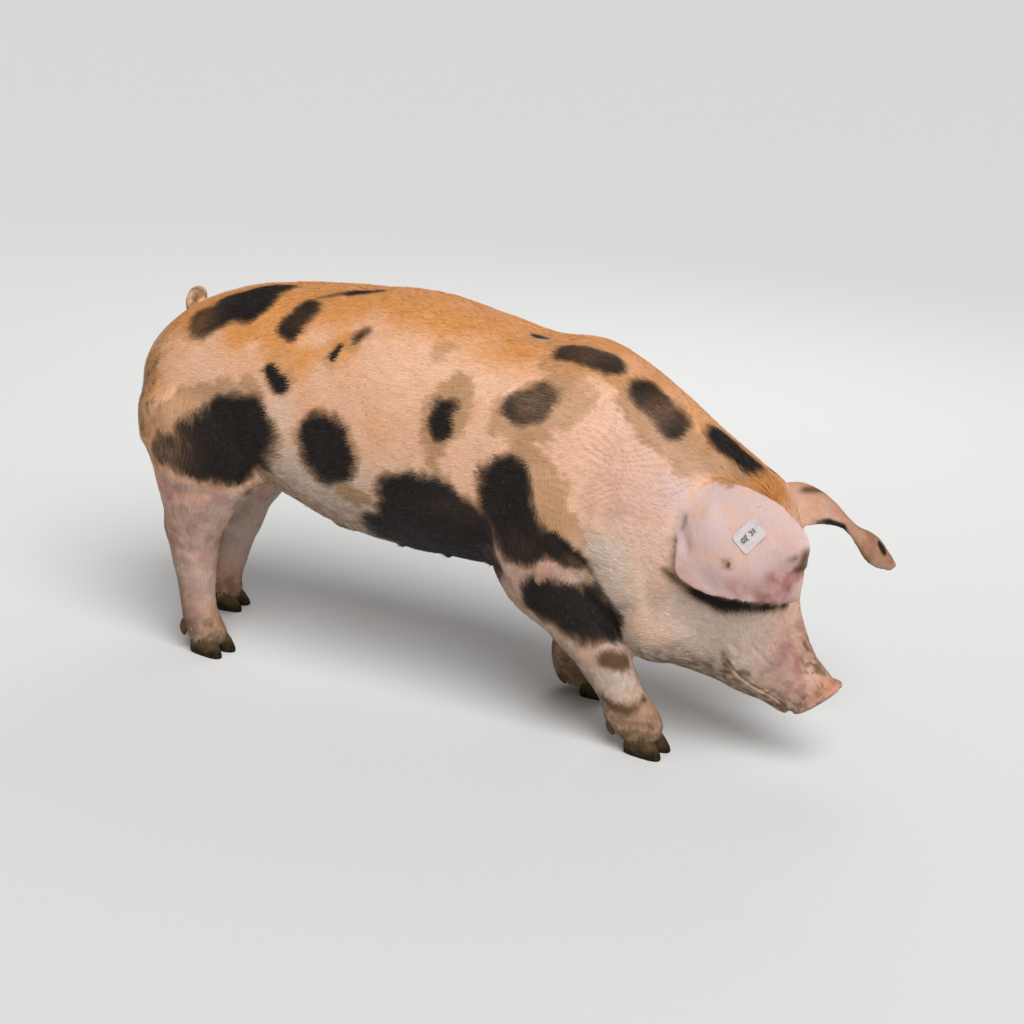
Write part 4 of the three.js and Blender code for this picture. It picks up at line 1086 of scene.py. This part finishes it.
class Chart:
    """The unwrap of the forms: where on which form a point of the skin is, and the lie of hair there."""

    def __init__(self):
        self.points, self.faces, self.owner = join(CHARTED)
        self.places = np.vstack([f["places"] for f in CHARTED])
        self.lie = np.vstack([f["lie"] for f in CHARTED])
        self.tree = BVHTree.FromPolygons(self.points.tolist(), self.faces.tolist())

    def find(self, points):
        place, face = nearest(self.tree, points)
        a, b, c = np.moveaxis(self.points[self.faces[face]], 1, 0)
        normal = np.cross(b - a, c - a)
        area = np.maximum((normal * normal).sum(1), 1e-9)
        v = (np.cross(place - a, c - a) * normal).sum(1) / area
        w = (np.cross(b - a, place - a) * normal).sum(1) / area
        shares = np.stack([1 - v - w, v, w], 1)
        return self.owner[face], mixed(self.places[face], shares), mixed(self.lie[self.faces[face]], shares)


# Coat pieces: tufts, length, width and lift of their tips as a share of the length.
COATS = {
    "coat_trunk_right": (66000, 12, 0.7, 0.06),
    "coat_trunk_left": (66000, 12, 0.7, 0.06),
    "coat_neck": (60000, 11.5, 0.65, 0.06),
    "coat_head": (50000, 6.5, 0.5, 0.10),
    "coat_ears": (36000, 5, 0.34, 0.06),
    "coat_hindlegs": (56000, 8.5, 0.6, 0.09),
    "coat_forelegs": (50000, 8.5, 0.6, 0.09),
}
PATCH = 0.003  # size of a tuft's patch on its piece's map
BLADE = 5  # points of a tuft
SUNK = 0.5  # how deep a root stands in the skin


def coat_regions(part, place, points):
    """Which coat piece covers each point, and its place on that piece's own map."""
    names = np.array(CHART_NAMES)[part]
    along, around = place.T
    region = np.full(len(part), "coat_trunk_left", dtype="U20")
    spot = np.stack([0.03 + 0.94 * along * LAST_STATION / NECK_STATION, 0.03 + 1.88 * around], 1)
    right = (names == "torso") & (points[:, 1] < 0)
    region[right] = "coat_trunk_right"
    spot[right, 1] -= 0.94
    body = (names == "torso") | (names == "disc")
    for name, first, last in (("coat_neck", NECK_STATION, POLL_STATION),
            ("coat_head", POLL_STATION, LAST_STATION)):
        chosen = (names == "torso") & (along * LAST_STATION >= first)
        region[chosen] = name
        spot[chosen, 0] = 0.03 + 0.94 * (along[chosen] * LAST_STATION - first) / (last - first)
        spot[chosen, 1] = 0.03 + 0.94 * around[chosen]
    region[names == "disc"] = "coat_head"
    for name, members in (("coat_ears", ["ear_right", "ear_left"]),
                          ("coat_hindlegs", ["hindleg_right", "hindleg_left", "tail"]),
                          ("coat_forelegs", ["foreleg_right", "foreleg_left"])):
        for k, member in enumerate(members):
            chosen = names == member
            region[chosen] = name
            spot[chosen, 0] = (k + 0.03 + 0.94 * along[chosen]) / len(members)
            spot[chosen, 1] = 0.03 + 0.94 * around[chosen]
    return region, np.clip(spot, 0.002, 0.998)


def tufts(root, out, lie, long, wide, lift, rng):
    """Thin tapering blades from their roots along the lie: five points and three triangles each."""
    count = len(root)
    lie = unit(lie - out * (lie * out).sum(1, keepdims=True))
    lie = unit(lie + np.cross(out, lie) * rng.normal(0, 0.13, (count, 1)))
    roll = rng.normal(0, 0.3, (count, 1))
    side = unit(np.cross(out, lie) * np.cos(roll) + out * np.sin(roll))
    bend = (long * rng.normal(0, 0.06, count))[:, None]
    long, lift, half = long[:, None], (long * lift)[:, None], wide[:, None] / 2
    base = root - out * SUNK
    middle = root + lie * long * 0.45 + out * lift * 0.4 + side * bend * 0.25
    points = np.stack([base - side * half * 0.7, base + side * half * 0.7, middle - side * half,
                       middle + side * half, root + lie * long + out * lift + side * bend], 1)
    along = np.tile([0, 0, 0.45, 0.45, 1.0], (count, 1))
    across = np.tile([-0.35, 0.35, -0.5, 0.5, 0.0], (count, 1))
    blade = np.array([(0, 1, 3), (0, 3, 2), (2, 3, 4)])
    faces = (np.arange(count)[:, None, None] * BLADE + blade).reshape(-1, 3)
    return points.reshape(-1, 3), faces, along.ravel(), across.ravel()


def coat(mesh, part, place, lie, material):
    """The coat's pieces: tufts rooted all over the skin."""
    points, out = coords(mesh), normals(mesh)
    mesh.calc_loop_triangles()
    triangles = np.empty(len(mesh.loop_triangles) * 3, np.int32)
    mesh.loop_triangles.foreach_get("vertices", triangles)
    triangles = triangles.reshape(-1, 3)
    corners = points[triangles]
    area = np.linalg.norm(np.cross(corners[:, 1] - corners[:, 0], corners[:, 2] - corners[:, 0]), axis=1) / 2
    centre = corners.mean(1)
    region, spot = coat_regions(part, place, points)
    region, spot = region[triangles[:, 0]], spot[triangles[:, 0]]
    bare = bald(centre)
    fringed = ear_fringe(part, place)
    fringe_at = fringed[triangles[:, 0]]
    for order, (name, (count, long, wide, lift)) in enumerate(COATS.items()):
        rng = np.random.default_rng(100 + order)
        count = count
        weight = np.where(region == name, area * (1 - bare) * (1 + 4 * fringe_at), 0)
        chosen = rng.choice(len(triangles), count, p=weight / weight.sum())
        shares = rng.dirichlet((1, 1, 1), count)
        root = mixed(corners[chosen], shares)
        up = unit(mixed(out[triangles[chosen]], shares))
        way = mixed(lie[triangles[chosen]], shares)
        first, second = markings(root, up, part[triangles[chosen, 0]])
        fringe = fringe_at[chosen]
        second[:, 2] = np.maximum(second[:, 2], 0.9 * fringe)
        length = long * rng.uniform(0.7, 1.2, count)
        rise = lift * rng.uniform(0.4, 1.7, count)
        longer, raised = growth(root, up, first, second, fringe)
        points_, faces, along, across = tufts(root, up, way, length * longer,
            wide * rng.uniform(0.6, 1.2, count),
                                              rise * raised, rng)
        points_[:, 2] = np.maximum(points_[:, 2], 0.4)
        made = triangle_mesh(name, points_, faces)
        strand = np.stack([np.repeat(rng.uniform(size=count), BLADE), along,
                           np.repeat(rng.uniform(size=count), BLADE), np.ones(BLADE * count)], 1)
        for layer, values in (("markings", first), ("tones", second)):
            fill(made, layer, "FLOAT_COLOR", np.repeat(values, BLADE, 0))
        fill(made, "strand", "FLOAT_COLOR", strand)
        uv = np.repeat(spot[chosen] + rng.uniform(-0.0008, 0.0008, (count, 2)), BLADE, 0)
        uv += PATCH * np.stack([along - 0.5, across], 1)
        made.uv_layers.new(name="OFBake").data.foreach_set("uv", uv[faces.ravel()].astype(np.float32).ravel())
        piece(name, made, material)


def bald(points):
    """Where no hair grows: the snout's disc, the slits of the eyes, the inside of the hoofs."""
    middle, up, side, way = disc_frame()
    bare = smooth_step(-16, -6, (points - middle) @ way)
    for s in (RIGHT, LEFT):
        eye, look, along, tall = eye_frame(s)
        ray = points - eye
        bare = np.maximum(bare, 0.98 * smooth_step(15, 9, np.linalg.norm(ray, axis=1) - 6))
    return np.clip(np.maximum(bare, 0.9 * smooth_step(32, 16, points[:, 2])), 0, 1)


def growth(points, up, first, second, fringe):
    """How much longer and how much more raised the hair is than its region's usual."""
    white, pale = first[:, 3], second[:, 3]
    ridge = smooth_step(0.75, 1.0, up[:, 2]) * (1 - pale)
    poll = cloud(points, "poll")
    coronet = smooth_step(66, 44, points[:, 2])
    longer = 1 + 0.25 * ridge + 0.2 * white + 2.2 * poll + 0.3 * fringe + 0.8 * coronet
    raised = 1 + 0.6 * ridge + 0.6 * white + 4.0 * poll + 1.5 * fringe + 1.2 * coronet
    return longer, raised


def ear_fringe(part, place):
    """How thickly dark bristles stand along the edges of the ears: mostly under the hanging one."""
    is_ear = np.isin(part, [CHART_NAMES.index(n) for n in EARS])
    along, around = place.T
    edge = np.minimum(np.minimum(around, 1 - around), np.abs(around - 0.5))
    hanging = (part == CHART_NAMES.index("ear_right")) * (np.minimum(around, 1 - around) < 0.2)
    strong = 0.25 + 0.75 * hanging * smooth_step(0.42, 0.6, along)
    return strong * is_ear * smooth_step(0.06, 0.02, edge) * smooth_step(0.15, 0.35, along)


# ---------------------------------------------------------------- horn, eyes and tag


def horn_pieces(material):
    """Each claw and dewclaw with softened edges and growth rings."""
    for name in sorted(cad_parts):
        if "claw" not in name:
            continue
        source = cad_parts[name].data.copy()
        move(source, coords(source) * 1000 - ORIGIN)
        mesh = remeshed(source, 1.5)
        edges = edges_of(mesh)
        points = relax(coords(mesh), edges, 0.5, 5)
        move(mesh, points)
        out = normals(mesh)
        high = points[:, 2]
        side = smooth_step(0.6, 0.2, np.abs(out[:, 2]))
        lean = high - 0.25 * points[:, 0] + 2.0 * ripple(points, 30, 31)
        points = points + out * (0.35 + side
            * (0.22 * np.sin(lean * 2 * np.pi / 4.2) + 0.15 * ripple(points, 9, 32)))[:, None]
        if name.startswith("claw"):
            points[:, 2] = np.where(high < 1.5, 0, points[:, 2])
        points[:, 2] = np.maximum(points[:, 2], 0)
        move(mesh, points)
        fill(mesh, "tip", "FLOAT", np.clip(points[:, 2] / 45, 0, 1))
        piece("horn_" + name, mesh, material, [name])


def eye_pieces(material):
    """Eyeballs with a bulging cornea over iris and pupil."""
    turn = np.linspace(0, np.pi, 49)
    ring = np.linspace(0, 2 * np.pi, 64, endpoint=False)
    for name, side in (("eye_right", RIGHT), ("eye_left", LEFT)):
        middle, look, along, up = eye_frame(side)
        radius = EYE["radius"] - 0.25 + 0.9 * np.exp(-((turn / 0.62) ** 4))
        grid = (look * np.cos(turn)[:, None, None]
                + np.sin(turn)[:, None, None] * (along * np.cos(ring)[:, None] + up * np.sin(ring)[:, None]))
        form = loft(name, middle + grid[1:-1] * radius[1:-1, None, None])
        mesh = triangle_mesh(name, form["points"], form["faces"])
        ray = unit(coords(mesh) - middle)
        fill(mesh, "gaze", "FLOAT", np.arccos(np.clip(ray @ look, -1, 1)) * np.where(
            np.abs(ray @ up) > 0, 1 + 0.35
            * (np.abs(ray @ up) / np.maximum(np.hypot(ray @ up, ray @ along), 1e-6)) ** 2, 1))
        angle = np.arctan2(ray @ up, ray @ along)
        fill(mesh, "rays", "FLOAT_VECTOR", np.stack([ray @ look, np.cos(angle), np.sin(angle)], 1))
        piece("eyeball_" + name[4:], mesh, material, [name])


def print_tag(material):
    """A plain number on the tag."""
    text = bpy.data.curves.new("print", "FONT")
    text.body, text.size, text.extrude, text.offset = "07 31", 14.5, 0.12, 0.12
    text.align_x = text.align_y = "CENTER"
    thing = bpy.data.objects.new("print", text)
    bpy.context.scene.collection.objects.link(thing)
    bpy.context.view_layer.update()
    mesh = bpy.data.meshes.new_from_object(thing.evaluated_get(bpy.context.evaluated_depsgraph_get()))
    bpy.data.objects.remove(thing)
    flat = coords(mesh)
    plate = coords(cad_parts["ear_tag"].data) * 1000 - ORIGIN
    middle, out = np.array(TAG_FACE[0]), unit(np.array(TAG_FACE[3]))
    middle = middle + out * (((plate - middle) @ out).max() - 0.05)
    move(mesh, middle + flat @ np.array([unit(np.array(way, float)) for way in TAG_FACE[1:]]))
    piece("tag_print", mesh, material)


# ---------------------------------------------------------------- putting it together

skin_mesh = shaped(base_skin())
skin_points, skin_out, skin_edges = coords(skin_mesh), normals(skin_mesh), edges_of(skin_mesh)
part, place, lie = Chart().find(skin_points)
on_body = (part == 0)[:, None]
lie = lie + on_body * np.array([0, 0, -0.35]) * smooth_step(700, 560, skin_points[:, 0])[:, None]
lie = relax(unit(lie), skin_edges, 0.6, 14)
swirl = 0.22 * ripple(skin_points, 150, 21)[:, None]
lie = unit(lie + np.cross(skin_out, lie) * swirl)

first, second = markings(skin_points, skin_out, part)
LENGTHS = np.array([1700, 640, 640, 640, 640, 260, 260, 140, 120], float)
GIRTHS = np.array([1350, 420, 420, 420, 420, 420, 420, 90, 260], float)
fill(skin_mesh, "markings", "FLOAT_COLOR", first)
fill(skin_mesh, "tones", "FLOAT_COLOR", second)
fill(skin_mesh, "grain", "FLOAT_VECTOR", np.stack(
    [place[:, 0] * LENGTHS[part], place[:, 1] * GIRTHS[part], 300.0 * part], 1) / 1000)

coat(skin_mesh, part, place, lie, coat_material())
flesh = [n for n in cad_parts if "claw" not in n and not n.startswith("eye") and n != "ear_tag"]
piece("pig_skin", skin_mesh, skin_material(), flesh)
horn_pieces(horn_material())
eye_pieces(eye_material())
tag_look = tag_material()
print_tag(plain_material("print", (0.045, 0.04, 0.06)))
for material_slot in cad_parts["ear_tag"].material_slots:
    material_slot.material = tag_look

# ---------------------------------------------------------------- floor, light and camera

floor_mesh = mesh_of("floor", [(-40, -40, 0), (40, -40, 0), (40, 40, 0), (-40, 40, 0)], [(0, 1, 2, 3)])
floor_mesh.materials.append(floor_material())
floor = bpy.data.objects.new("floor", floor_mesh)
bpy.context.scene.collection.objects.link(floor)


def placed(thing, axes, at):
    """Puts a lamp or camera at a point, with its right, up and back along the axes given."""
    bpy.context.scene.collection.objects.link(thing)
    rows = [[*row, p] for row, p in zip(np.stack(axes, 1).tolist(), at)]
    thing.matrix_world = Matrix([*rows, [0, 0, 0, 1]])


def aimed(thing, at, towards):
    """Puts a lamp at a point and turns it to another."""
    back = unit(np.subtract(at, towards))
    right = unit(np.cross((0, 0, 1), back))
    placed(thing, [right, np.cross(back, right), back], at)


# Light: the sun's strength and width in radians, the lamps as name, place in metres, width and
# watts, and the studio's own even light.
SUN_STRENGTH, SUN_WIDTH = 3.35, 0.75
LAMPS = (("fill", (3.0, -2.6, 1.4), 2.0, 5), ("rim", (-0.4, 2.8, 2.6), 2.0, 24))
STUDIO_LIGHT = 0.26
sun = bpy.data.lights.new("key", "SUN")
sun.energy, sun.angle = SUN_STRENGTH, SUN_WIDTH
aimed(bpy.data.objects.new("key", sun), (1.6, -1.9, 3.3), (0, 0, 0.3))
for name, at, size, power in LAMPS:
    lamp = bpy.data.lights.new(name, "AREA")
    lamp.shape, lamp.size, lamp.energy = "DISK", size, power
    aimed(bpy.data.objects.new(name, lamp), at, (0.05, 0, 0.35))

world = bpy.data.worlds.new("studio")
world.use_nodes = True
world.node_tree.nodes["Background"].inputs["Color"].default_value = (1, 1, 1, 1)
world.node_tree.nodes["Background"].inputs["Strength"].default_value = STUDIO_LIGHT
bpy.context.scene.world = world
bpy.context.scene.view_settings.view_transform = "Standard"

# The camera, fitted to landmarks of the animal: heading, height above the horizon and roll in
# radians, its place in metres and its focal length in mm.
AZIMUTH, ELEVATION, ROLL = 0.4004, 0.3205, 0.0651
EYE_POINT = (1.4541, -3.3915, 1.5882)
LENS = 70.33
camera_data = bpy.data.cameras.new("camera")
camera_data.lens = LENS
camera = bpy.data.objects.new("camera", camera_data)
back = np.array([math.sin(AZIMUTH) * math.cos(ELEVATION), -math.cos(AZIMUTH) * math.cos(ELEVATION),
                 math.sin(ELEVATION)])
right = np.array([math.cos(AZIMUTH), math.sin(AZIMUTH), 0.0])
upward = np.cross(back, right)
placed(camera, [right * math.cos(ROLL) + upward * math.sin(ROLL),
                upward * math.cos(ROLL) - right * math.sin(ROLL), back], EYE_POINT)
bpy.context.scene.camera = camera
